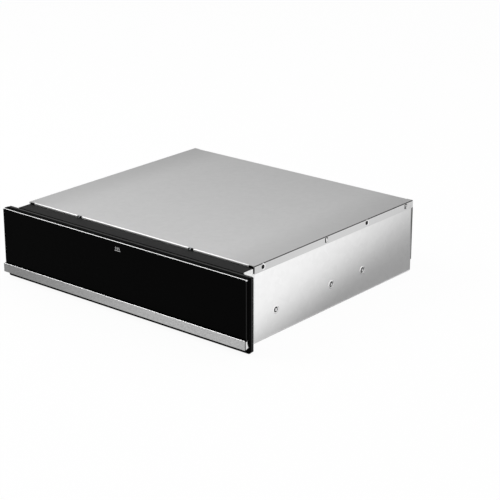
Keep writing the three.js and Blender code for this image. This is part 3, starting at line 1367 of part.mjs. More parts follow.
function piece(name, geometry, material) {
  const mesh = new THREE.Mesh(geometry, material());
  mesh.name = name;
  return mesh;
}

function pair(name, geometry, material) {
  return [
    piece(`${name}_right`, geometry, material),
    piece(`${name}_left`, mirrored(geometry), material),
  ];
}

function casing() {
  const group = new THREE.Group();
  group.add(
    ...pair('side_panel', sidePanel(), galvanised),
    piece('base_tray', baseTray(), galvanised),
    piece('rear_panel', rearPanel(), galvanised),
    piece('top_cover', topCover(), galvanised),
    ...pair('front_frame', frontFrame(), galvanised),
    ...pair('door_buffer', doorBuffer(), blackRubber),
    ...pair('runner_outer', runnerMember(outerMemberLine()), zincPlate),
  );
  return group;
}

function controls() {
  const group = new THREE.Group();
  group.add(
    piece('control_housing', controlHousing(), blackPlastic),
    piece('control_board', controlBoard(), circuitBoard),
    piece('indicator_lens', indicatorLens(), clearLens),
    ...Object.entries(BUTTONS).map(([name, x]) => piece(name, pushButton(x), blackPlastic)),
  );
  return group;
}

function blower() {
  const group = new THREE.Group();
  group.add(
    piece('bulkhead', bulkhead(), galvanised),
    piece('blower_scroll', blowerScroll(), galvanised),
    piece('blower_tongue', blowerTongue(), galvanised),
    piece('blower_end_plate_left', blowerEndPlateLeft(), galvanised),
    piece('blower_end_plate_right', blowerEndPlateRight(), galvanised),
    piece('fan_wheel', fanWheel(), brushedSteel),
    piece('fan_bearing', fanBearing(), sinteredBronze),
    piece('motor_stator', motorStator(), motorIron),
    piece('motor_coil', motorCoil(), copperCoil),
    piece('motor_rotor', motorRotor(), hardSteel),
    piece('motor_bearing_plate', motorBearingPlate(), zincPlate),
    piece('heater_element', heaterElement(), sheathSteel),
    piece('thermal_cutout', thermalCutout(), whiteNylon),
    piece('terminal_block', terminalBlock(), whiteNylon),
    piece('cable_inlet', cableInlet(), blackPlastic),
    piece('wiring_loom', wiringLoom(), blackRubber),
  );
  return group;
}

function drawer() {
  const group = new THREE.Group();
  group.add(
    piece('glass_front', glassFront(), blackGlass),
    piece('front_carrier', frontCarrier(), blackPlastic),
    piece('grip_strip', gripStrip(), brushedSteel),
    ...pair('grip_end', gripEnd(), brushedSteel),
    piece('door_liner', doorLiner(), blackEnamel),
    piece('door_insulation', doorInsulation(), mineralWool),
    ...pair('door_bracket', doorBracket(), zincPlate),
    piece('drawer_floor', drawerFloor(), brushedSteel),
    ...pair('drawer_side', drawerSide(), brushedSteel),
    piece('drawer_front_wall', drawerFrontWall(), brushedSteel),
    piece('drawer_rear_wall', drawerRearWall(), brushedSteel),
    piece('drawer_mat', drawerMat(), blackRubber),
    ...pair('runner_inner', runnerMember(innerMemberLine()), zincPlate),
  );
  return group;
}

function runnerMiddles() {
  const group = new THREE.Group();
  group.add(
    ...pair('runner_middle', runnerMember(middleMemberLine()), zincPlate),
    ...pair('ball_cage_outer', outerCage(), hardSteel),
    ...pair('ball_cage_inner', innerCage(), hardSteel),
  );
  return group;
}

// The object stands on its base, centred on its own depth.
const warmingDrawer = new THREE.Group();
warmingDrawer.add(casing(), controls(), blower(), drawer(), runnerMiddles());
warmingDrawer.position.y = (GRIP_PROUD - OBJECT_BACK) / 2;

export default warmingDrawer;
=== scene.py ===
import math
import bmesh
import bpy
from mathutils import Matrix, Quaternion, Vector


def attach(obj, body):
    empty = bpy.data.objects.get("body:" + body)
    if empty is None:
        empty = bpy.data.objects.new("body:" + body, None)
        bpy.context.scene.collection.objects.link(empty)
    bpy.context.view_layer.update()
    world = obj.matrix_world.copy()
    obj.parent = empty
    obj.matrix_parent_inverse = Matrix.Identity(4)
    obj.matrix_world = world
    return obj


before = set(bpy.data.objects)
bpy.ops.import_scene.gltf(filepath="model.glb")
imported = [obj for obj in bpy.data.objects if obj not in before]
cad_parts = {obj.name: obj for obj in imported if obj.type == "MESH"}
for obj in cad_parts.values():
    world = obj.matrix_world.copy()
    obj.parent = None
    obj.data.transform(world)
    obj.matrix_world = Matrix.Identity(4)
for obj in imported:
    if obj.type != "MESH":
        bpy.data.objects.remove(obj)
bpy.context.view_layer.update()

# --- Viewpoint --------------------------------------------------------------------------------
# A long lens from the front right, a little above the casing, as the product was photographed.
# The small shift only centres the frame.
camera_data = bpy.data.cameras.new("camera")
camera_data.lens = 116.19
camera_data.sensor_width = 36.0
camera_data.shift_x = -0.00126
camera_data.shift_y = -0.00068
camera = bpy.data.objects.new("camera", camera_data)
camera.location = (1.8931, -2.16475, 1.0855)
aim = Vector((0.09818, -0.00705, 0.07524)) - camera.location
camera.rotation_euler = aim.to_track_quat("-Z", "Y").to_euler()
bpy.context.scene.collection.objects.link(camera)
bpy.context.scene.camera = camera
bpy.context.scene.view_settings.view_transform = "Standard"


# --- Studio -----------------------------------------------------------------------------------
# A white surround, seen as plain white directly and in gloss, with a somewhat lower level on
# matt surfaces, where two soft lamps add direction. Grey cards stand where the sheet metal
# mirrors them, and give it its soft gradients.
def linear(hex_colour):
    """An sRGB hex colour as linear RGBA."""
    channels = [int(hex_colour[i:i + 2], 16) / 255 for i in (1, 3, 5)]
    return [c / 12.92 if c <= 0.04045 else ((c + 0.055) / 1.055) ** 2.4 for c in channels] + [1.0]


def add_node(tree, kind, inputs=None, into=None, **settings):
    """Adds a node with its settings and links. A shader node is named without its prefix."""
    node = tree.nodes.new(kind if "Node" in kind else "ShaderNode" + kind)
    for name, value in settings.items():
        setattr(node, name, value)
    for name, value in (inputs or {}).items():
        if isinstance(value, bpy.types.NodeSocket):
            tree.links.new(value, node.inputs[name])
        else:
            node.inputs[name].default_value = value
    if into:
        tree.links.new(next(result for result in node.outputs if result.enabled), into)
    return node


world = bpy.data.worlds.new("white_surround")
bpy.context.scene.world = world
world.use_nodes = True
surround = world.node_tree
rays = add_node(surround, "LightPath")
seen = add_node(surround, "Math", {0: rays.outputs["Is Camera Ray"],
                                   1: rays.outputs["Is Glossy Ray"]}, operation="MAXIMUM")
seen = add_node(surround, "Math", {0: seen.outputs[0], 1: rays.outputs["Is Transmission Ray"]},
                operation="MAXIMUM")
level = add_node(surround, "MapRange", {"Value": seen.outputs[0], "To Min": 0.72, "To Max": 1.0})
surround.links.new(level.outputs["Result"], surround.nodes["Background"].inputs["Strength"])
surround.nodes["Background"].inputs["Color"].default_value = linear("#FFFFFF")


def studio_sheet(name, corners, material):
    """A rectangle of the studio, from its four corners."""
    mesh = bpy.data.meshes.new(name)
    mesh.from_pydata(corners, [], [(0, 1, 2, 3)])
    mesh.materials.append(material)
    sheet = bpy.data.objects.new(name, mesh)
    bpy.context.scene.collection.objects.link(sheet)
    return sheet


floor_paint = bpy.data.materials.new("white_floor")
floor_paint.use_nodes = True
tree = floor_paint.node_tree
tree.nodes.clear()
rays = add_node(tree, "LightPath")
seen = add_node(tree, "Math", {0: rays.outputs["Is Camera Ray"], 1: rays.outputs["Is Glossy Ray"]},
                operation="MAXIMUM")
matt = add_node(tree, "BsdfDiffuse", {"Color": linear("#FFFFFF")})
white = add_node(tree, "Emission", {"Color": linear("#FFFFFF"), "Strength": 1.0})
shadowed = add_node(tree, "MixShader", {"Fac": 0.93, 1: matt.outputs[0], 2: white.outputs[0]})
chosen = add_node(tree, "MixShader", {"Fac": seen.outputs[0], 1: matt.outputs[0],
                                      2: shadowed.outputs[0]})
add_node(tree, "OutputMaterial", {"Surface": chosen.outputs[0]})
FLOOR_REACH, FLOOR_Z = 14, -0.0005
studio_sheet("floor", [(x * FLOOR_REACH, y * FLOOR_REACH, FLOOR_Z)
                       for x, y in ((-1, -1), (1, -1), (1, 1), (-1, 1))], floor_paint)


def grey_card(name, corners, dark, light, start, end):
    """A card seen only in gloss, graded from its dark level at start to its light one at end."""
    paint = bpy.data.materials.new(name)
    paint.use_nodes = True
    tree = paint.node_tree
    tree.nodes.clear()
    place = add_node(tree, "TexCoord")
    run = Vector(end) - Vector(start)
    along = add_node(tree, "VectorMath", {0: place.outputs["Object"], 1: start},
                     operation="SUBTRACT")
    along = add_node(tree, "VectorMath", {0: along.outputs[0], 1: run / run.length_squared},
                     operation="DOT_PRODUCT")
    grade = add_node(tree, "MapRange", {"Value": along.outputs["Value"], "To Min": dark,
                                        "To Max": light}, interpolation_type="SMOOTHSTEP")
    glow = add_node(tree, "Emission", {"Color": linear("#FFFFFF"),
                                       "Strength": grade.outputs["Result"]})
    add_node(tree, "OutputMaterial", {"Surface": glow.outputs[0]})
    card = studio_sheet(name, corners, paint)
    for ray in ("camera", "diffuse", "transmission", "volume_scatter", "shadow"):
        setattr(card, "visible_" + ray, False)


# On the floor at the right, mirrored by the side panel: a painted shadow of the casing, dark at
# its foot and towards the back. The cards on the floor begin just outside the casing.
CARD_EDGE, CARD_Z = 0.2765, 0.0004
grey_card("card_right", [(CARD_EDGE, -0.9, CARD_Z), (1.6, -0.9, CARD_Z), (1.6, 2.0, CARD_Z),
                         (CARD_EDGE, 2.0, CARD_Z)], 0.34, 1.04, (0.283, 0.04, 0),
          (0.412, 0.006, 0))
# The same painted shadow on the floor at the left and behind, for the left and rear panels.
grey_card("card_left", [(-CARD_EDGE, 2.0, CARD_Z), (-1.6, 2.0, CARD_Z), (-1.6, -0.26, CARD_Z),
                        (-CARD_EDGE, -0.26, CARD_Z)], 0.5, 1.0, (-0.28, 0.0, 0),
          (-0.5, 0.05, 0))
grey_card("card_back", [(CARD_EDGE, 0.264, CARD_Z), (CARD_EDGE, 1.6, CARD_Z),
                        (-CARD_EDGE, 1.6, CARD_Z), (-CARD_EDGE, 0.264, CARD_Z)], 0.5, 1.0,
          (0.0, 0.27, 0), (0.05, 0.5, 0))
# Upright behind the object, mirrored by the cover: darker towards its lower edge.
grey_card("card_behind", [(-3.2, 0.75, 0.0), (0.9, 0.75, 0.0), (0.9, 0.75, 2.2),
                          (-3.2, 0.75, 2.2)], 0.45, 0.92, (0, 0.75, 0.2), (0, 0.75, 0.9))


def lamp(name, place, towards, size, power):
    """A square soft box."""
    light = bpy.data.lights.new(name, "AREA")
    light.size = size
    light.energy = power
    box = bpy.data.objects.new(name, light)
    box.location = place
    box.rotation_euler = (Vector(towards) - Vector(place)).to_track_quat("-Z", "Y").to_euler()
    bpy.context.scene.collection.objects.link(box)


lamp("key_left", (-1.9, -1.1, 2.2), (0, 0, 0.1), 1.5, 22)
lamp("top", (0.2, 0.1, 2.6), (0, 0, 0.1), 2.0, 8)


# --- Base tray --------------------------------------------------------------------------------
# The floor of the casing: galvanised sheet with two stiffening beads, bent up at the front and
# at the back. It rests on the lower flanges of the side panels.
def new_material(name, values):
    """A material with its tree, its shader set to the values, and the object's texture space."""
    made = bpy.data.materials.new(name)
    made.use_nodes = True
    tree = made.node_tree
    shader = tree.nodes["Principled BSDF"]
    for socket, value in values.items():
        shader.inputs[socket].default_value = value
    return made, tree, shader, add_node(tree, "TexCoord").outputs


def reopened(material):
    """The tree, shader and texture space of a made material, and the colour it has so far."""
    tree = material.node_tree
    shader = tree.nodes["Principled BSDF"]
    colour = shader.inputs["Base Color"].links[0].from_socket
    return tree, shader, add_node(tree, "TexCoord").outputs, colour


CRYSTALS_PER_METRE = 110.0


def spangled_sheet(name, low, high, smooth, rough, bends):
    """Galvanised sheet: pale zinc crystals of some 9 mm that differ very little, bends in painted
    shade.
    """
    made, tree, shader, space = new_material(name, {"Metallic": 1.0})
    crystals = add_node(tree, "TexVoronoi", {"Vector": space["Object"],
                                             "Scale": CRYSTALS_PER_METRE})
    flat = add_node(tree, "Mix", {0: crystals.outputs["Color"], 6: linear(low), 7: linear(high)},
                    data_type="RGBA")
    # The parts of a normal add up to 1 on a flat face, and to more on a bend.
    folded = add_node(tree, "VectorMath", {0: space["Normal"]}, operation="ABSOLUTE")
    folded = add_node(tree, "VectorMath", {0: folded.outputs[0], 1: (1, 1, 1)},
                      operation="DOT_PRODUCT")
    folded = add_node(tree, "MapRange", {"Value": folded.outputs["Value"], "From Min": 1.12,
                                         "From Max": 1.3})
    # Painted shade: the bends take the darker bend colour.
    add_node(tree, "Mix", {0: folded.outputs[0], 6: flat.outputs[2], 7: linear(bends)},
             into=shader.inputs["Base Color"], data_type="RGBA")
    add_node(tree, "MapRange", {"Value": crystals.outputs["Distance"], "From Max": 0.01,
                                "To Min": smooth, "To Max": rough},
             into=shader.inputs["Roughness"])
    return made


def smooth_below(degrees):
    """A geometry group that shades smooth, with sharp edges above an angle."""
    name = f"smooth_below_{degrees}"
    if name in bpy.data.node_groups:
        return bpy.data.node_groups[name]
    group = bpy.data.node_groups.new(name, "GeometryNodeTree")
    group.interface.new_socket("Geometry", in_out="INPUT", socket_type="NodeSocketGeometry")
    group.interface.new_socket("Geometry", in_out="OUTPUT", socket_type="NodeSocketGeometry")
    start = add_node(group, "NodeGroupInput")
    faces = add_node(group, "GeometryNodeSetShadeSmooth", {"Geometry": start.outputs[0],
                                                           "Shade Smooth": True}, domain="FACE")
    angle = add_node(group, "GeometryNodeInputMeshEdgeAngle")
    sharp = add_node(group, "FunctionNodeCompare", {0: angle.outputs["Unsigned Angle"],
                                                    1: math.radians(degrees)},
                     operation="GREATER_THAN")
    edges = add_node(group, "GeometryNodeSetShadeSmooth", {"Geometry": faces.outputs[0],
                                                           "Selection": sharp.outputs[0],
                                                           "Shade Smooth": False}, domain="EDGE")
    add_node(group, "NodeGroupOutput", {0: edges.outputs[0]})
    return group


def dress(nodes, material, edge=0.00015, degrees=50):
    """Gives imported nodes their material, breaks their edges by a radius and shades them."""
    for node in nodes.split():
        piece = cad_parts[node]
        piece.material_slots[0].material = material
        weld = piece.modifiers.new("weld", "WELD")
        weld.merge_threshold = 0.000005
        plain = piece.modifiers.new("plain", "DECIMATE")
        plain.decimate_type = "DISSOLVE"
        plain.angle_limit = math.radians(0.5)
        if edge:
            broken = piece.modifiers.new("edges", "BEVEL")
            broken.width = edge
            broken.segments = 2
            broken.limit_method = "ANGLE"
            broken.angle_limit = math.radians(50)
        shade = piece.modifiers.new("shade", "NODES")
        shade.node_group = smooth_below(degrees)
        even = piece.modifiers.new("even", "WEIGHTED_NORMAL")
        even.keep_sharp = True


# Satin galvanised sheet: an even pale grey with a very faint spangle.
satin_sheet = spangled_sheet("satin_galvanised_sheet", "#D6D6D6", "#DCDCDC", 0.36, 0.4,
                             "#D2D2D2")
dress("base_tray", satin_sheet)

# --- Side panels ------------------------------------------------------------------------------
# Channels of bright sheet steel, 1 mm thick, with their edges turned inwards. Three screws in
# shallow pressed dimples hold the drawer runner on the inside.
# Bright galvanised sheet: smoother and paler, so it mirrors the studio's light softly. Its bends
# are painted as darker lines, a painted shade.
bright_sheet = spangled_sheet("bright_galvanised_sheet", "#F1F1F1", "#F6F6F6", 0.24, 0.28,
                              "#4A4A4A")
# Painted shade darkens the side panels along the rear bend, most near the top.
REAR_SHADE_START, REAR_SHADE_FULL = 0.2554, 0.2564
side_sheet = bright_sheet.copy()
side_sheet.name = "bright_galvanised_sheet_with_painted_rear_shade"
tree, shader, space, zinc = reopened(side_sheet)
place = add_node(tree, "SeparateXYZ", {0: space["Object"]})
behind = add_node(tree, "MapRange", {"Value": place.outputs["Y"], "From Min": REAR_SHADE_START,
                                     "From Max": REAR_SHADE_FULL})
high = add_node(tree, "MapRange", {"Value": place.outputs["Z"], "From Min": 0.04, "From Max": 0.1})
rear_shade = add_node(tree, "Math", {0: behind.outputs[0], 1: high.outputs[0]}, operation="MULTIPLY")
# Painted shade: grey laid over the zinc along the rear bend.
add_node(tree, "Mix", {0: rear_shade.outputs[0], 6: zinc, 7: linear("#7C7C7C")},
         into=shader.inputs["Base Color"], data_type="RGBA")
dress("side_panel_left side_panel_right", side_sheet, 0.0002)


def turned(name, profile, material, recess=None, sides=40):
    """A mesh turned about its own z axis from (radius, height) points that run inwards."""
    made = bmesh.new()
    rings = []
    for radius, height in profile:
        ring = []
        for i in range(sides):
            angle = 2 * math.pi * i / sides
            x, y = radius * math.cos(angle), radius * math.sin(angle)
            ring.append(made.verts.new((x, y, height - (recess(x, y) if recess else 0))))
        rings.append(ring)
    for outer, inner in zip(rings, rings[1:]):
        for i in range(sides):
            j = (i + 1) % sides
            made.faces.new((outer[i], outer[j], inner[j], inner[i])).smooth = True
    made.faces.new(rings[-1]).smooth = True
    mesh = bpy.data.meshes.new(name)
    made.to_mesh(mesh)
    made.free()
    mesh.materials.append(material)
    return mesh


def fasten(name, mesh, place, outwards, body, spin=0.0):
    """Sets a copy of a small part on a face, its z axis pointing out of that face."""
    part = bpy.data.objects.new(name, mesh)
    part.location = place
    part.rotation_mode = "QUATERNION"
    part.rotation_quaternion = (Vector(outwards).to_track_quat("Z", "Y")
                                @ Quaternion((0, 0, 1), spin))
    bpy.context.scene.collection.objects.link(part)
    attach(part, body)


def cross_recess(arm, half_width, depth):
    """The depth of a cross-shaped driver recess at a point of a screw head."""
    def at(x, y):
        along, across = max(abs(x), abs(y)), min(abs(x), abs(y))
        end = min(max((arm - along) / (arm * 0.35), 0.0), 1.0)
        wall = min(max((half_width - across) / (half_width * 0.4), 0.0), 1.0)
        return depth * end * wall
    return at


def domed(radius, height, steps=12):
    """The profile of a low domed head, from its rim inwards."""
    crown = [(radius * math.cos(t / steps * math.pi / 2) * 0.98,
              height * (0.35 + 0.65 * math.sin(t / steps * math.pi / 2))) for t in range(steps)]
    return [(radius, 0.0), (radius, height * 0.3)] + crown + [(radius * 0.05, height)]


def speckled(name, low, high, scale, roughness, relief, ior=1.45, metallic=0.0):
    """A moulded, plated or sintered stuff: fine speckle in colour and, with a relief, in height.

    A grain is 1 / scale metres wide. Real grain is often finer, so it is drawn 0.4 mm or wider.
    """
    made, tree, shader, space = new_material(name, {"Roughness": roughness, "IOR": ior,
                                                    "Metallic": metallic})
    grain = add_node(tree, "TexNoise", {"Vector": space["Object"], "Scale": scale, "Detail": 3.0})
    add_node(tree, "Mix", {0: grain.outputs["Fac"], 6: linear(low), 7: linear(high)},
             into=shader.inputs["Base Color"], data_type="RGBA")
    if relief:
        add_node(tree, "Bump", {"Height": grain.outputs["Fac"], "Strength": relief,
                                "Distance": 0.0002}, into=shader.inputs["Normal"])
    return made


# Black zinc screw steel: dark and glossy, so that a head shows a light side and a dark side.
dark_screw = speckled("black_zinc_screw", "#08090A", "#1E1F20", 600.0, 0.35, 0.0, 1.5, 1.0)
# The same steel on the runner screws, with the driver recess coloured near-white.
bright_recess_screw = speckled("black_zinc_screw_with_bright_recess", "#08090A", "#2A2B2C", 600.0, 0.35, 0.0, 1.5, 1.0)
BRIGHT_RECESS_RADIUS, BRIGHT_RECESS_HEIGHT = 0.0036, 0.0005
tree, shader, space, patina = reopened(bright_recess_screw)
place = add_node(tree, "SeparateXYZ", {0: space["Object"]})
from_axis = add_node(tree, "VectorMath", {0: space["Object"], 1: (1, 1, 0)}, operation="MULTIPLY")
from_axis = add_node(tree, "VectorMath", {0: from_axis.outputs[0]}, operation="LENGTH")
inner = add_node(tree, "Math", {0: from_axis.outputs["Value"], 1: BRIGHT_RECESS_RADIUS},
                 operation="LESS_THAN")
low = add_node(tree, "Math", {0: place.outputs["Z"], 1: BRIGHT_RECESS_HEIGHT}, operation="LESS_THAN")
bright_recess = add_node(tree, "Math", {0: inner.outputs[0], 1: low.outputs[0]}, operation="MULTIPLY")
add_node(tree, "Mix", {0: bright_recess.outputs[0], 6: patina, 7: linear("#E8E8E8")},
         into=shader.inputs["Base Color"], data_type="RGBA")
# Zinc rubbed bright where a die has coined the rim of a dimple.
coined_rim = speckled("coined_zinc_rim", "#EAEAEA", "#FAFAFA", 500.0, 0.2, 0.0, 1.5, 1.0)

SIDES = (("left", -1), ("right", 1))
SIDE_FACE = 0.2742
RUNNER_SCREWS = (-0.1505, 0.0076, 0.1021)
RUNNER_SCREW_Z = 0.0458
side_screw = turned("runner_screw_head", domed(0.005, 0.0009), bright_recess_screw,
                    cross_recess(0.0038, 0.0014, 0.0008))
dimple = turned("pressed_dimple", [(0.0082, 0.00002), (0.0073, 0.00028), (0.0062, 0.0006),
                                   (0.0057, 0.0005), (0.005, 0.00005)], coined_rim)
for side, sign in SIDES:
    for i, y in enumerate(RUNNER_SCREWS):
        place = (sign * SIDE_FACE, y, RUNNER_SCREW_Z)
        fasten(f"runner_dimple_{side}_{i}", dimple, place, (sign, 0, 0), "casing")
        fasten(f"runner_screw_{side}_{i}", side_screw, place, (sign, 0, 0), "casing",
               0.6 + 0.3 * i)

# --- Ball runners -----------------------------------------------------------------------------
# Each side has an outer member on the side panel, a middle member, and an inner member on the
# drawer, all roll-formed. Two pressed cages hold the balls between them.
def streaked_metal(name, low, high, scale, smooth, rough, relief):
    """A metal with fine streaks, from the noise's scale in x, y and z and its roughness range.

    A streak is 1 / scale metres wide and long. Real ones are often finer, so they are drawn
    0.7 mm or wider.
    """
    made, tree, shader, space = new_material(name, {"Metallic": 1.0})
    stretched = add_node(tree, "Mapping", {"Vector": space["Object"], "Scale": scale})
    streaks = add_node(tree, "TexNoise", {"Vector": stretched.outputs[0], "Scale": 1.0,
                                          "Detail": 4.0})
    add_node(tree, "Mix", {0: streaks.outputs["Fac"], 6: linear(low), 7: linear(high)},
             into=shader.inputs["Base Color"], data_type="RGBA")
    add_node(tree, "MapRange", {"Value": streaks.outputs["Fac"], "To Min": smooth,
                                "To Max": rough}, into=shader.inputs["Roughness"])
    add_node(tree, "Bump", {"Height": streaks.outputs["Fac"], "Strength": relief,
                            "Distance": 0.0001}, into=shader.inputs["Normal"])
    return made


# Roll-formed zinc-plated strip: bright and slightly blue, with drawing lines along its length.
zinc_strip = streaked_metal("roll_formed_zinc_plated_strip", "#B4B8BB", "#D3D7DA",
                            (1100, 14, 1100), 0.2, 0.32, 0.1)
dress("runner_outer_left runner_outer_right runner_middle_left runner_middle_right"
      " runner_inner_left runner_inner_right", zinc_strip, 0.0001)
# Hardened steel: polished balls and cages with a thin film of grease.
greased_steel = streaked_metal("greased_hard_steel", "#A9A59A", "#E2E2DF", (260, 260, 260),
                               0.08, 0.3, 0.05)
dress("ball_cage_outer_left ball_cage_outer_right ball_cage_inner_left ball_cage_inner_right",
      greased_steel, 0.0, 65)

# --- Bulkhead ---------------------------------------------------------------------------------
# A galvanised wall between drawer space and rear bay, with the warm air outlet in it. Its feet
# stand on the base tray.
dress("bulkhead", satin_sheet)

# --- Blower -----------------------------------------------------------------------------------
# A cross-flow wheel of curved aluminium blades turns in a scroll of galvanised sheet, between two
# end plates. A bronze bush carries its left end, and a shaded-pole motor drives its right end.
dress("blower_scroll blower_tongue blower_end_plate_left blower_end_plate_right", satin_sheet)
# Rolled aluminium strip: pale, with fine lines along the blades.
blade_strip = streaked_metal("rolled_aluminium_strip", "#B9BABA", "#D8D9D9", (25, 1500, 1500),
                             0.25, 0.4, 0.08)
dress("fan_wheel", blade_strip, 0.0, 35)
# Sintered bronze: warm and porous, dull with oil.
dress("fan_bearing", speckled("sintered_bronze", "#7D5E33", "#B08A4E", 1900.0, 0.5, 0.35, 1.5,
                              1.0))


def banded(name, low, high, axis, scale, distortion, values, relief, height):
    """A stuff of even bands across an axis, 0.314 / scale metres apart, in colour and height."""
    made, tree, shader, space = new_material(name, values)
    bands = add_node(tree, "TexWave", {"Vector": space["Object"], "Scale": scale,
                                       "Distortion": distortion}, bands_direction=axis)
    add_node(tree, "Mix", {0: bands.outputs["Fac"], 6: linear(low), 7: linear(high)},
             into=shader.inputs["Base Color"], data_type="RGBA")
    add_node(tree, "Bump", {"Height": bands.outputs["Fac"], "Strength": relief,
                            "Distance": height}, into=shader.inputs["Normal"])
    return made


# Laminated iron: varnished sheets of 0.5 mm, drawn as lines 2 mm apart across the stack.
dress("motor_stator", banded("laminated_iron", "#3E4044", "#74787D", "X", 160.0, 0.4,
                             {"Metallic": 0.8, "Roughness": 0.45}, 0.3, 0.0002))
# Wound coil under clear tape: copper wire in close turns, drawn 1.2 mm apart.
dress("motor_coil", banded("taped_copper_winding", "#6E2F14", "#C06A3A", "X", 260.0, 0.8,
                           {"Metallic": 0.6, "Roughness": 0.35}, 0.5, 0.0003), 0.0006)
# Turned steel: rotor and shaft with fine rings from the lathe.
turned_steel = streaked_metal("turned_steel", "#9A9C9E", "#CFD1D2", (1400, 60, 60), 0.16, 0.3,
                              0.08)
dress("motor_rotor", turned_steel)
# Pressed zinc plate: the outer bearing plate on its two posts.
pressed_zinc = streaked_metal("pressed_zinc_plate", "#AEB2B5", "#CDD1D4", (120, 420, 420), 0.24,
                              0.36, 0.06)
dress("motor_bearing_plate", pressed_zinc)

# --- Heater and cut-out -----------------------------------------------------------------------
# A hairpin of steel sheathed heating tube lies in the blower's outlet. A thermal cut-out, clamped
# to the bulkhead, switches it off if the air stops.
# Heat-tinted sheath: straw and violet bands on grey steel, each some 35 mm long.
tinted, tree, shader, space = new_material("heat_tinted_sheath", {"Metallic": 1.0,
                                                                  "Roughness": 0.38})
stretched = add_node(tree, "Mapping", {"Vector": space["Object"], "Scale": (28, 160, 160)})
bands = add_node(tree, "TexNoise", {"Vector": stretched.outputs[0], "Scale": 1.0, "Detail": 3.0})
tints = add_node(tree, "ValToRGB", {0: bands.outputs["Fac"]})
tints.color_ramp.elements[0].position = 0.35
tints.color_ramp.elements[0].color = linear("#6A6258")
tints.color_ramp.elements[1].position = 0.65
tints.color_ramp.elements[1].color = linear("#5B5A68")
tints.color_ramp.elements.new(0.5).color = linear("#8A7756")
tree.links.new(tints.outputs[0], shader.inputs["Base Color"])
dress("heater_element", tinted)
# White ceramic and nylon, with tinned blades behind the cap of the cut-out.
cutout_mix, tree, shader, space = new_material("glazed_ceramic_with_tinned_blades", {})
CAP_SIDE, BLADE_SIDE = 0.2021, 0.2023
depth = add_node(tree, "SeparateXYZ", {0: space["Object"]})
add_node(tree, "MapRange", {"Value": depth.outputs["Y"], "From Min": CAP_SIDE,
                            "From Max": BLADE_SIDE}, into=shader.inputs["Metallic"])
add_node(tree, "MapRange", {"Value": depth.outputs["Y"], "From Min": CAP_SIDE,
                            "From Max": BLADE_SIDE, "To Min": 0.3, "To Max": 0.22},
         into=shader.inputs["Roughness"])
grain = add_node(tree, "TexNoise", {"Vector": space["Object"], "Scale": 900.0})
add_node(tree, "Mix", {0: grain.outputs["Fac"], 6: linear("#D9D5C8"), 7: linear("#EEEBE1")},
         into=shader.inputs["Base Color"], data_type="RGBA")
dress("thermal_cutout", cutout_mix)

# --- Mains connection -------------------------------------------------------------------------
# A black grommet in the rear panel takes the supply cord, and a terminal block on the base tray
# takes its wires. A sleeved loom runs from there to the controls.
white_nylon = speckled("moulded_white_nylon", "#DAD6C8", "#ECE9DE", 1300.0, 0.5, 0.15)
dress("terminal_block", white_nylon, 0.0003)
# Brass screw heads, slightly tarnished.
brass = streaked_metal("tarnished_brass", "#A98845", "#D9B868", (500, 500, 500), 0.2, 0.38, 0.1)
terminal_screw = turned("terminal_screw_head", domed(0.0027, 0.001), brass,
                        lambda x, y: 0.0006 if abs(y) < 0.0004 else 0.0)
TERMINAL_Y, TERMINAL_TOP = 0.2289, 0.01565
for i, x in enumerate((-0.242, -0.228, -0.214)):
    fasten(f"terminal_screw_{i}", terminal_screw, (x, TERMINAL_Y, TERMINAL_TOP), (0, 0, 1),
           "casing", 0.4 * i)
# Moulded black rubber-like plastic of the grommet.
dress("cable_inlet", speckled("moulded_black_grommet", "#0D0D0D", "#1A1A1A", 1500.0, 0.55, 0.2),
      0.0004)
# Woven glass sleeve: a tight black braid, drawn at 1.5 mm a mesh.
braid, tree, shader, space = new_material("braided_glass_sleeve", {"Roughness": 0.75})
diagonal = add_node(tree, "Mapping", {"Vector": space["Object"], "Rotation": (0.6, 0.5, 0.785)})
mesh_pattern = add_node(tree, "TexChecker", {"Vector": diagonal.outputs[0], "Scale": 1300.0})
add_node(tree, "Mix", {0: mesh_pattern.outputs["Fac"], 6: linear("#101010"), 7: linear("#2A2A2A")},
         into=shader.inputs["Base Color"], data_type="RGBA")
add_node(tree, "Bump", {"Height": mesh_pattern.outputs["Fac"], "Strength": 0.6,
                        "Distance": 0.0003}, into=shader.inputs["Normal"])
dress("wiring_loom", braid, 0.0, 65)

# --- Rear panel -------------------------------------------------------------------------------
# A flat bright sheet over the rear bay with two groups of cooling slots. Nine screws hold it to
# the flanges behind.
# The same sheet with its cut edges darker than the zinc: partly bare steel, partly painted shade.
rear_sheet = bright_sheet.copy()
rear_sheet.name = "bright_galvanised_sheet_with_shaded_cut_edges"
tree, shader, space, zinc = reopened(rear_sheet)
facing = add_node(tree, "SeparateXYZ", {0: space["Normal"]})
flat = add_node(tree, "Math", {0: facing.outputs["Y"]}, operation="ABSOLUTE")
cut = add_node(tree, "MapRange", {"Value": flat.outputs[0], "From Min": 0.9, "From Max": 0.6})
# Painted shade and bare steel: faces that don't look to the front or back are greyed.
add_node(tree, "Mix", {0: cut.outputs[0], 6: zinc, 7: linear("#707070")},
         into=shader.inputs["Base Color"], data_type="RGBA")
dress("rear_panel", rear_sheet)
# Bright zinc-plated screw steel, softly worn on the crown.
bright_screw = streaked_metal("zinc_plated_screw", "#9EA1A4", "#C9CCCE", (600, 600, 600), 0.22,
                              0.34, 0.1)
panel_screw = turned("panel_screw_head", domed(0.0028, 0.0011), bright_screw,
                     cross_recess(0.0019, 0.0006, 0.0008))
REAR_FACE = 0.26025
LOWER_ROW, MIDDLE_ROW, UPPER_ROW = 0.0272, 0.0755, 0.1238
panel_screws = [(x, LOWER_ROW) for x in (-0.24, -0.08, 0.08, 0.24)]
panel_screws += [(x, UPPER_ROW) for x in (-0.24, 0.0, 0.24)]
panel_screws += [(x, MIDDLE_ROW) for x in (0.267, -0.267)]
for i, (x, z) in enumerate(panel_screws):
    fasten(f"panel_screw_{i}", panel_screw, (x, REAR_FACE, z), (0, 1, 0), "casing",
           0.7 * i)
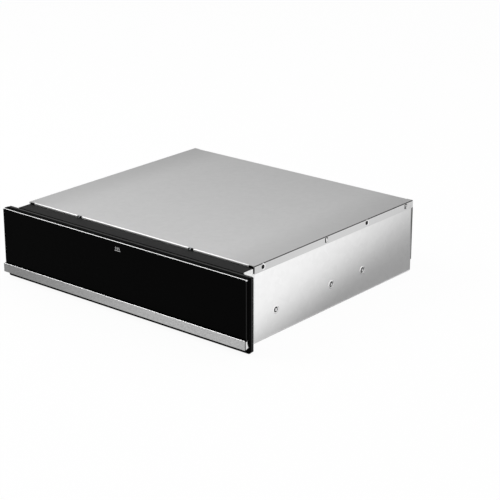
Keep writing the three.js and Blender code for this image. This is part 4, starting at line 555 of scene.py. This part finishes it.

# --- Front frame ------------------------------------------------------------------------------
# Two bright uprights between casing and door. Each turns out to a slotted ear, which is screwed
# to the cabinet's front edge and carries a rubber buffer for the door.
# The uprights' galvanised steel, whitened and made less metallic as painted light: pale, with a
# soft sheen and a fine flake.
dress("front_frame_left front_frame_right",
      speckled("galvanised_upright_with_painted_light", "#F2F2F2", "#FBFBFB", 1200.0, 0.45, 0.0, 1.5, 0.35))
# Black rubber: dull, with a trace of bloom.
dress("door_buffer_left door_buffer_right",
      speckled("black_rubber", "#101010", "#222222", 700.0, 0.85, 0.2), 0.0004, 35)

# --- Controls ---------------------------------------------------------------------------------
# A black moulding behind the door: its top closes the gap between door and cover, and its front
# carries three buttons and the indicator, in front of the control board.
# Grained black plastic, dulled by its texture.
housing_plastic = speckled("grained_black_plastic", "#131313", "#1B1B1B", 1600.0, 0.62, 0.25, 1.2)
dress("control_housing", housing_plastic, 0.0006)
# Smooth black plastic of the buttons: the same colour with a light sheen.
button_plastic = speckled("satin_black_button_plastic", "#0F0F0F", "#171717", 900.0, 0.35, 0.06)
dress("power_button temperature_button timer_button", button_plastic, 0.0004)
# Smoky polycarbonate: a clear dark lens with moulded ribs on its inside, 1 mm apart.
lens_plastic, tree, shader, space = new_material("smoky_polycarbonate",
                                                 {"Transmission Weight": 0.5, "IOR": 1.58})
ribs = add_node(tree, "TexWave", {"Vector": space["Object"], "Scale": 300.0}, bands_direction="X")
add_node(tree, "Mix", {0: ribs.outputs["Fac"], 6: linear("#565B5E"), 7: linear("#7D8386")},
         into=shader.inputs["Base Color"], data_type="RGBA")
add_node(tree, "MapRange", {"Value": ribs.outputs["Fac"], "To Min": 0.08, "To Max": 0.2},
         into=shader.inputs["Roughness"])
dress("indicator_lens", lens_plastic, 0.0002)
# Green solder mask over copper tracks, 1 mm apart. The components behind it are dark plastic.
BEHIND_BOARD = -0.2273
board_mask, tree, shader, space = new_material("solder_mask_and_components", {"Roughness": 0.4})
tracks = add_node(tree, "TexBrick", {"Vector": space["Object"], "Color1": linear("#1F5A31"),
                                     "Color2": linear("#24663A"), "Mortar": linear("#3C8350"),
                                     "Scale": 240.0, "Mortar Size": 0.03})
depth = add_node(tree, "SeparateXYZ", {0: space["Object"]})
behind = add_node(tree, "Math", {0: depth.outputs["Y"], 1: BEHIND_BOARD},
                  operation="GREATER_THAN")
grain = add_node(tree, "TexNoise", {"Vector": space["Object"], "Scale": 60.0, "Detail": 1.0})
parts = add_node(tree, "Mix", {0: grain.outputs["Fac"], 6: linear("#1B1C20"),
                               7: linear("#34363C")}, data_type="RGBA")
tone = add_node(tree, "Mix", {0: behind.outputs[0], 6: tracks.outputs["Color"],
                              7: parts.outputs[2]}, data_type="RGBA")
tree.links.new(tone.outputs[2], shader.inputs["Base Color"])
dress("control_board", board_mask, 0.0)


INK_HEIGHT = 0.00003


def printed(name, strokes, y, width, body, ink):
    """Strokes of ink, given as lines of (x, z), on a face at y that looks to the front."""
    y -= INK_HEIGHT
    made = bmesh.new()
    for stroke in strokes:
        sides = []
        for i, (x, z) in enumerate(stroke):
            ax, az = stroke[max(i - 1, 0)]
            bx, bz = stroke[min(i + 1, len(stroke) - 1)]
            half = width / 2 / math.hypot(bx - ax, bz - az)
            nx, nz = (az - bz) * half, (bx - ax) * half
            sides.append([made.verts.new((x + nx, y, z + nz)), made.verts.new((x - nx, y, z - nz))])
        for (a, b), (c, d) in zip(sides, sides[1:]):
            made.faces.new((a, b, d, c))
    for face in made.faces:
        face.normal_update()
        if face.normal.y > 0:
            face.normal_flip()
    mesh = bpy.data.meshes.new(name)
    made.to_mesh(mesh)
    made.free()
    mesh.materials.append(ink)
    mark = bpy.data.objects.new(name, mesh)
    bpy.context.scene.collection.objects.link(mark)
    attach(mark, body)


def arc(x, z, radius, start, end, steps=16):
    """Points of a circular arc, its angles in degrees."""
    angles = [math.radians(start + (end - start) * t / steps) for t in range(steps + 1)]
    return [(x + radius * math.cos(a), z + radius * math.sin(a)) for a in angles]


# Screen-printed ink: a dull light grey.
printed_ink = speckled("screen_printed_ink", "#A8A8A8", "#D0D0D0", 2500.0, 0.6, 0.05)
BUTTON_FACE, HOUSING_FACE = -0.23735, -0.23655
CONTROL_Z = 0.1283
marks = {
    "power": (0.030, lambda x, z: [arc(x, z, 0.0021, -240, 60),
                                   [(x, z + 0.0008), (x, z + 0.0027)]]),
    "temperature": (0.060, lambda x, z: [[(x, z - 0.0004), (x, z + 0.0026)],
                                         arc(x, z - 0.0014, 0.001, 0, 360)]),
    "timer": (0.090, lambda x, z: [arc(x, z, 0.0024, 0, 360),
                                   [(x, z + 0.0016), (x, z), (x + 0.0012, z)]]),
}
for name, (x, strokes) in marks.items():
    printed(name + "_mark", strokes(x, CONTROL_Z), BUTTON_FACE, 0.0005,
            name + "_button", printed_ink)
# Four dashes under the indicator, each longer than the last, for the level of heat.
DASH_Z = CONTROL_Z - 0.0042
printed("indicator_marks",
        [[(x, DASH_Z), (x + 0.0022 + 0.0012 * i, DASH_Z)]
         for i, x in enumerate((-0.0222, -0.0136, -0.0050, 0.0036))],
        HOUSING_FACE, 0.0004, "casing", printed_ink)

# --- Top cover --------------------------------------------------------------------------------
# One sheet of galvanised steel over the whole casing, bent down at both sides and at the back,
# with a short lip in front. Screws and lanced tabs hold its flanges to the side panels.
# Skin-passed galvanised sheet: an even satin grey, in painted shade beside the side bends, and on
# the flanges a painted reflection, lighter towards the back. The side bends carry a fine dark line
# of painted shade.
cover_sheet, tree, shader, space = new_material("skin_passed_galvanised_sheet", {"Metallic": 1.0})
crystals = add_node(tree, "TexVoronoi", {"Vector": space["Object"],
                                         "Scale": CRYSTALS_PER_METRE})
add_node(tree, "MapRange", {"Value": crystals.outputs["Distance"], "From Max": 0.01,
                            "To Min": 0.36, "To Max": 0.4}, into=shader.inputs["Roughness"])
even = add_node(tree, "Mix", {0: crystals.outputs["Color"], 6: linear("#D0D0D0"),
                              7: linear("#D4D4D4")}, data_type="RGBA")
place = add_node(tree, "SeparateXYZ", {0: space["Object"]})
# Painted shade: a duller grey beside the side bends.
aside = add_node(tree, "Math", {0: place.outputs["X"]}, operation="ABSOLUTE")
aside = add_node(tree, "MapRange", {"Value": aside.outputs[0], "From Min": 0.17, "From Max": 0.28,
                                    "To Max": 0.3}, interpolation_type="SMOOTHSTEP")
side_shaded = add_node(tree, "Mix", {0: aside.outputs[0], 6: even.outputs[2], 7: linear("#969696")},
                  data_type="RGBA")
facing = add_node(tree, "SeparateXYZ", {0: space["Normal"]})
sideways = add_node(tree, "Math", {0: facing.outputs["X"]}, operation="ABSOLUTE")
flange = add_node(tree, "Math", {0: sideways.outputs[0], 1: 0.95}, operation="GREATER_THAN")
# Painted reflection: the flanges are lighter, more so towards the back.
rearward = add_node(tree, "MapRange", {"Value": place.outputs["Y"], "From Min": -0.2,
                                       "From Max": 0.25})
lighter = add_node(tree, "Mix", {0: rearward.outputs[0], 6: linear("#CCCCCC"),
                                 7: linear("#ECECEC")}, data_type="RGBA")
brighter = add_node(tree, "Mix", {0: flange.outputs[0], 6: side_shaded.outputs[2],
                                  7: lighter.outputs[2]}, data_type="RGBA")
# Painted shade: a fine dark line on the side bends.
bend = add_node(tree, "Math", {0: sideways.outputs[0], 1: facing.outputs["Z"]},
                operation="MULTIPLY")
bend = add_node(tree, "MapRange", {"Value": bend.outputs[0], "From Min": 0.2, "From Max": 0.4})
add_node(tree, "Mix", {0: bend.outputs[0], 6: brighter.outputs[2], 7: linear("#383838")},
         into=shader.inputs["Base Color"], data_type="RGBA")
dress("top_cover", cover_sheet, 0.0002)
COVER_FACE = 0.2755
FLANGE_Z = 0.1352
flange_screw = turned("flange_screw_head", domed(0.0039, 0.0005), dark_screw,
                      cross_recess(0.0024, 0.0007, 0.0004))
# The rim of the dimple stands proud only on the side away from the front.
RIM_RISE = 0.0009
collar = turned("flange_collar", [(0.0063, 0.0), (0.0059, 0.0003), (0.0054, RIM_RISE),
                                  (0.0049, RIM_RISE), (0.0038, 0.0001)], coined_rim,
                lambda x, y: RIM_RISE * min(max(0.6 - x / 0.004, 0.0), 1.2))
for side, sign in SIDES:
    for i, y in enumerate((-0.1873, 0.1109)):
        place = (sign * COVER_FACE, y, FLANGE_Z)
        fasten(f"flange_collar_{side}_{i}", collar, place, (sign, 0, 0), "casing",
               0.0 if sign > 0 else math.pi)
        fasten(f"flange_screw_{side}_{i}", flange_screw, place, (sign, 0, 0), "casing",
               0.3 + i)

# Two screw heads in the notches of the front lip rest on the housing's tabs, just in front of
# the cover's edge.
lip_screw = turned("lip_screw_head", domed(0.0021, 0.001), bright_screw,
                   cross_recess(0.0014, 0.0005, 0.0006))
LIP_SCREW_Y, LIP_SCREW_Z = -0.2078, 0.1396
for i, x in enumerate((-0.1443, 0.1287)):
    fasten(f"lip_screw_{i}", lip_screw, (x, LIP_SCREW_Y, LIP_SCREW_Z), (0, -1, 0), "casing")


def lanced_tab(name, width, height, rise, material):
    """A tongue cut free on three sides and pushed out, hinged along one edge."""
    made = bmesh.new()
    steps = 6
    thick = 0.0006
    cut_corner = 0.0006
    rows = []
    for i in range(steps + 1):
        t = i / steps
        y = -height / 2 + height * t
        z = rise * (3 * t * t - 2 * t * t * t)
        half = width / 2 - (cut_corner if i == steps else 0.0)
        rows.append([made.verts.new((x, y, z + lift)) for lift in (0.0, thick)
                     for x in (-half, half)])
    for lower, upper in zip(rows, rows[1:]):
        made.faces.new((lower[2], lower[3], upper[3], upper[2]))
        made.faces.new((lower[1], lower[0], upper[0], upper[1]))
        made.faces.new((lower[0], lower[2], upper[2], upper[0]))
        made.faces.new((lower[3], lower[1], upper[1], upper[3]))
    made.faces.new((rows[-1][0], rows[-1][2], rows[-1][3], rows[-1][1]))
    made.faces.new((rows[0][1], rows[0][3], rows[0][2], rows[0][0]))
    mesh = bpy.data.meshes.new(name)
    made.to_mesh(mesh)
    made.free()
    mesh.materials.append(material)
    return mesh


def flat_plate(name, width, height, material):
    """A thin level plate with cut corners, a painted shadow for the slot round a tongue."""
    cut = 0.0006
    above_the_face = 0.00003
    x, y = width / 2, height / 2
    outline = [(-x + cut, -y), (x - cut, -y), (x, -y + cut), (x, y - cut), (x - cut, y),
               (-x + cut, y), (-x, y - cut), (-x, -y + cut)]
    mesh = bpy.data.meshes.new(name)
    mesh.from_pydata([(*corner, above_the_face) for corner in outline], [], [range(8)])
    mesh.materials.append(material)
    return mesh


# Painted shadow of the open slot round a tongue, near-black and speckled with dust.
slot_shadow = speckled("painted_shadow_of_a_slot", "#0B0B0B", "#242424", 800.0, 0.9, 0.1, 1.1)
tongue = lanced_tab("lanced_tongue", 0.0036, 0.0066, 0.0007, coined_rim)
slot_shadow_plate = flat_plate("lanced_slot_shadow", 0.0078, 0.0094, slot_shadow)
for side, sign in SIDES:
    for i, y in enumerate((-0.0105, 0.2353)):
        place = (sign * COVER_FACE, y, FLANGE_Z)
        fasten(f"lanced_slot_shadow_{side}_{i}", slot_shadow_plate, place, (sign, 0, 0), "casing")
        fasten(f"lanced_tongue_{side}_{i}", tongue, place, (sign, 0, 0), "casing",
               math.pi)

# --- Drawer box -------------------------------------------------------------------------------
# Two bent sides, a floor and two end walls of stainless sheet, with a ribbed rubber mat to stop
# plates from sliding. Rivets through the front wall and two brackets carry the door.
# Brushed stainless sheet: fine lines from front to back.
brushed_sheet = streaked_metal("brushed_stainless_sheet", "#A6A6A4", "#CFCFCC",
                               (900, 10, 900), 0.24, 0.38, 0.1)
dress("drawer_side_left drawer_side_right drawer_floor", brushed_sheet)
# The same sheet cut across: fine lines from side to side.
crosswise_sheet = streaked_metal("brushed_stainless_sheet_crosswise", "#A6A6A4", "#CFCFCC",
                                 (10, 900, 900), 0.24, 0.38, 0.1)
dress("drawer_front_wall drawer_rear_wall", crosswise_sheet)
# Ribbed rubber: dull black ridges from side to side, 5 mm apart.
dress("drawer_mat", banded("ribbed_rubber", "#141414", "#2C2C2C", "Y", 62.8, 0.0,
                           {"Roughness": 0.7}, 0.8, 0.001), 0.0005)
dress("door_bracket_left door_bracket_right", pressed_zinc)
rivet = turned("blind_rivet", [(0.0028, 0.0), (0.0028, 0.0004), (0.0024, 0.0008),
                               (0.0012, 0.0009), (0.001, 0.0005), (0.0001, 0.0005)], bright_screw)
FRONT_WALL_FACE, RIVET_Z = -0.23135, 0.095
for i, x in enumerate((-0.21, -0.07, 0.07, 0.21)):
    fasten(f"front_wall_rivet_{i}", rivet, (x, FRONT_WALL_FACE, RIVET_Z), (0, 1, 0), "drawer")

# --- Door -------------------------------------------------------------------------------------
# A shallow enamelled liner closes over a pad of mineral wool. A black moulded carrier lies in
# front of it and holds the glass.
# Mineral wool felt: matt fibres in a yellowish grey, drawn some 1 mm thick so that they show.
wool, tree, shader, space = new_material("mineral_wool_felt", {"Roughness": 1.0})
fibre = add_node(tree, "Mapping", {"Vector": space["Object"], "Scale": (120, 900, 700)})
fibre = add_node(tree, "TexNoise", {"Vector": fibre.outputs[0], "Scale": 1.0, "Detail": 6.0,
                                    "Distortion": 1.5})
add_node(tree, "Mix", {0: fibre.outputs["Fac"], 6: linear("#8E8361"), 7: linear("#CDC3A2")},
         into=shader.inputs["Base Color"], data_type="RGBA")
add_node(tree, "Bump", {"Height": fibre.outputs["Fac"], "Strength": 0.7, "Distance": 0.001},
         into=shader.inputs["Normal"])
dress("door_insulation", wool, 0.0)
# Black enamel on steel: smooth with a light orange peel.
dress("door_liner", speckled("black_enamelled_steel", "#0B0B0B", "#131313", 420.0, 0.32, 0.12,
                             1.22), 0.0002)
# Moulded black plastic: an even, slightly silky grain, darker than the housing.
dress("front_carrier", speckled("moulded_black_plastic", "#010101", "#040404", 1800.0, 0.5,
                                0.15, 1.05), 0.0003)

# --- Front glass ------------------------------------------------------------------------------
# A pane of black glass, 4 mm thick, bonded to the carrier. Its edges are ground and polished at
# 45 degrees: the upper one is a painted highlight, a fine bright line with a painted glint at the
# corners, and the upright ones are painted shade, faint grey lines.
GLASS_FACE = -0.25705
# Black float glass with faint wiping marks, some 45 mm apart. Its index is set far below that
# of real glass, so that it mirrors almost nothing of the white surround. The polished edge is
# drawn as metal.
black_glass, tree, shader, space = new_material("black_float_glass", {"IOR": 1.05})
ground = add_node(tree, "SeparateXYZ", {0: space["Normal"]})
# Painted highlight on the upper edge and painted shade on the upright ones, by the edge's facing.
upper = add_node(tree, "MapRange", {"Value": ground.outputs["Z"], "From Min": 0.1, "From Max": 0.3})
not_flat = add_node(tree, "MapRange", {"Value": ground.outputs["Z"], "From Min": 0.97,
                                       "From Max": 0.9})
upper = add_node(tree, "Math", {0: upper.outputs[0], 1: not_flat.outputs[0]}, operation="MULTIPLY")
aside = add_node(tree, "Math", {0: ground.outputs["X"]}, operation="ABSOLUTE")
to_front = add_node(tree, "Math", {0: aside.outputs[0], 1: ground.outputs["Y"]},
                    operation="MULTIPLY")
upright = add_node(tree, "MapRange", {"Value": to_front.outputs[0], "From Min": -0.2,
                                      "From Max": -0.4})
arris = add_node(tree, "Math", {0: upper.outputs[0], 1: upright.outputs[0]}, operation="MAXIMUM")
# Painted glint: the rounded corners of the upper edge are white.
corner = add_node(tree, "MapRange", {"Value": ground.outputs["Z"], "From Min": 0.69,
                                     "From Max": 0.6})
bright = add_node(tree, "Mix", {0: corner.outputs[0], 6: linear("#B2B2B2"), 7: linear("#FFFFFF")},
                  data_type="RGBA")
edge = add_node(tree, "Mix", {0: upper.outputs[0], 6: linear("#2E2E2E"), 7: bright.outputs[2]},
                data_type="RGBA")
add_node(tree, "Mix", {0: arris.outputs[0], 6: linear("#060606"), 7: edge.outputs[2]},
         into=shader.inputs["Base Color"], data_type="RGBA")
tree.links.new(arris.outputs[0], shader.inputs["Metallic"])
wiped = add_node(tree, "Mapping", {"Vector": space["Object"], "Scale": (6, 1, 22)})
wiped = add_node(tree, "TexNoise", {"Vector": wiped.outputs[0], "Scale": 1.0, "Detail": 4.0})
matt_edge = add_node(tree, "Math", {0: arris.outputs[0], 1: 0.3}, operation="MULTIPLY")
gloss = add_node(tree, "MapRange", {"Value": wiped.outputs["Fac"], "To Min": 0.02, "To Max": 0.07})
gloss = add_node(tree, "Math", {0: gloss.outputs[0], 1: matt_edge.outputs[0]}, operation="ADD")
tree.links.new(gloss.outputs[0], shader.inputs["Roughness"])
dress("glass_front", black_glass, 0.0, 30)
# The heat mark near the upper edge: three waves over a bar, in fired ceramic ink.
glass_ink = speckled("fired_ceramic_ink", "#A8A8A8", "#D0D0D0", 2500.0, 0.6, 0.05)
HEAT_X, HEAT_Z = 0.0005, 0.1197
WAVE_PITCH, WAVE_SWING = 0.0042, 0.0009
WAVE_FOOT, WAVE_HEIGHT = 0.0019, 0.0048
BAR_HALF = 0.0066
waves = [[(HEAT_X + step + WAVE_SWING * math.sin(t / 10 * 2 * math.pi),
           HEAT_Z + WAVE_FOOT + WAVE_HEIGHT * t / 10) for t in range(11)]
         for step in (-WAVE_PITCH, 0.0, WAVE_PITCH)]
bar = [(HEAT_X - BAR_HALF, HEAT_Z), (HEAT_X + BAR_HALF, HEAT_Z)]
printed("heat_mark", waves + [bar], GLASS_FACE, 0.0011, "drawer", glass_ink)

# --- Grip strip -------------------------------------------------------------------------------
# An aluminium profile, hooked under the glass, with a bright cast piece in each end. Fingers
# reach behind its lower edge.
# Blasted and brushed aluminium: a fine speckle over faint lines along x. The real grain is some
# 0.1 mm, and is drawn at about 1.5 mm so that it shows. The face is painted lighter from left to
# right as painted light, the broken upper edge is polished and painted white as a painted
# highlight, the flat top is painted an even grey by its facing, and the cut ends are painted dark
# as painted shade.
brushed, tree, shader, space = new_material("brushed_aluminium", {"Metallic": 1.0})
lines = add_node(tree, "Mapping", {"Vector": space["Object"], "Scale": (420, 800, 800)})
lines = add_node(tree, "TexNoise", {"Vector": lines.outputs[0], "Scale": 1.0, "Detail": 3.0,
                                    "Roughness": 0.7})
sharpened = add_node(tree, "MapRange", {"Value": lines.outputs["Fac"], "From Min": 0.3,
                                        "From Max": 0.7})
across = add_node(tree, "SeparateXYZ", {0: space["Object"]})
# Painted light: the face gets lighter from left to right.
across = add_node(tree, "MapRange", {"Value": across.outputs["X"], "From Min": -0.3,
                                     "From Max": 0.15}, interpolation_type="SMOOTHSTEP")
dull = add_node(tree, "Mix", {0: across.outputs[0], 6: linear("#6E6E6E"), 7: linear("#989898")},
                data_type="RGBA")
light = add_node(tree, "Mix", {0: across.outputs[0], 6: linear("#949494"), 7: linear("#C6C6C6")},
                 data_type="RGBA")
tone = add_node(tree, "Mix", {0: sharpened.outputs[0], 6: dull.outputs[2], 7: light.outputs[2]},
                data_type="RGBA")
facing = add_node(tree, "SeparateXYZ", {0: space["Normal"]})
# Painted highlight on the upper edge, and an even grey painted on the flat top by its facing.
upper_edge = add_node(tree, "MapRange", {"Value": facing.outputs["Z"], "From Min": 0.2,
                                         "From Max": 0.4})
flat_top = add_node(tree, "MapRange", {"Value": facing.outputs["Z"], "From Min": 0.93,
                                       "From Max": 0.99})
edged = add_node(tree, "Mix", {0: upper_edge.outputs[0], 6: tone.outputs[2], 7: linear("#FFFFFF")},
                 data_type="RGBA")
topped = add_node(tree, "Mix", {0: flat_top.outputs[0], 6: edged.outputs[2], 7: linear("#8C8C8C")},
                  data_type="RGBA")
# Painted shade: the cut ends are dark.
end_shade = add_node(tree, "Math", {0: facing.outputs["X"]}, operation="ABSOLUTE")
end_shade = add_node(tree, "MapRange", {"Value": end_shade.outputs[0], "From Min": 0.8,
                                      "From Max": 0.95})
shaded_end = add_node(tree, "Mix", {0: end_shade.outputs[0], 6: topped.outputs[2],
                                     7: linear("#242424")}, data_type="RGBA")
tree.links.new(shaded_end.outputs[2], shader.inputs["Base Color"])
add_node(tree, "MapRange", {"Value": upper_edge.outputs[0], "To Min": 0.36, "To Max": 0.16},
         into=shader.inputs["Roughness"])
add_node(tree, "Bump", {"Height": lines.outputs["Fac"], "Strength": 0.12, "Distance": 0.0001},
         into=shader.inputs["Normal"])
dress("grip_strip", brushed, 0.001, 30)
# Satin chromed casting: white and smooth.
dress("grip_end_left grip_end_right",
      streaked_metal("satin_chromed_casting", "#D2D2D2", "#DEDEDE", (1500, 1500, 1500), 0.22,
                     0.32, 0.05), 0.0001)
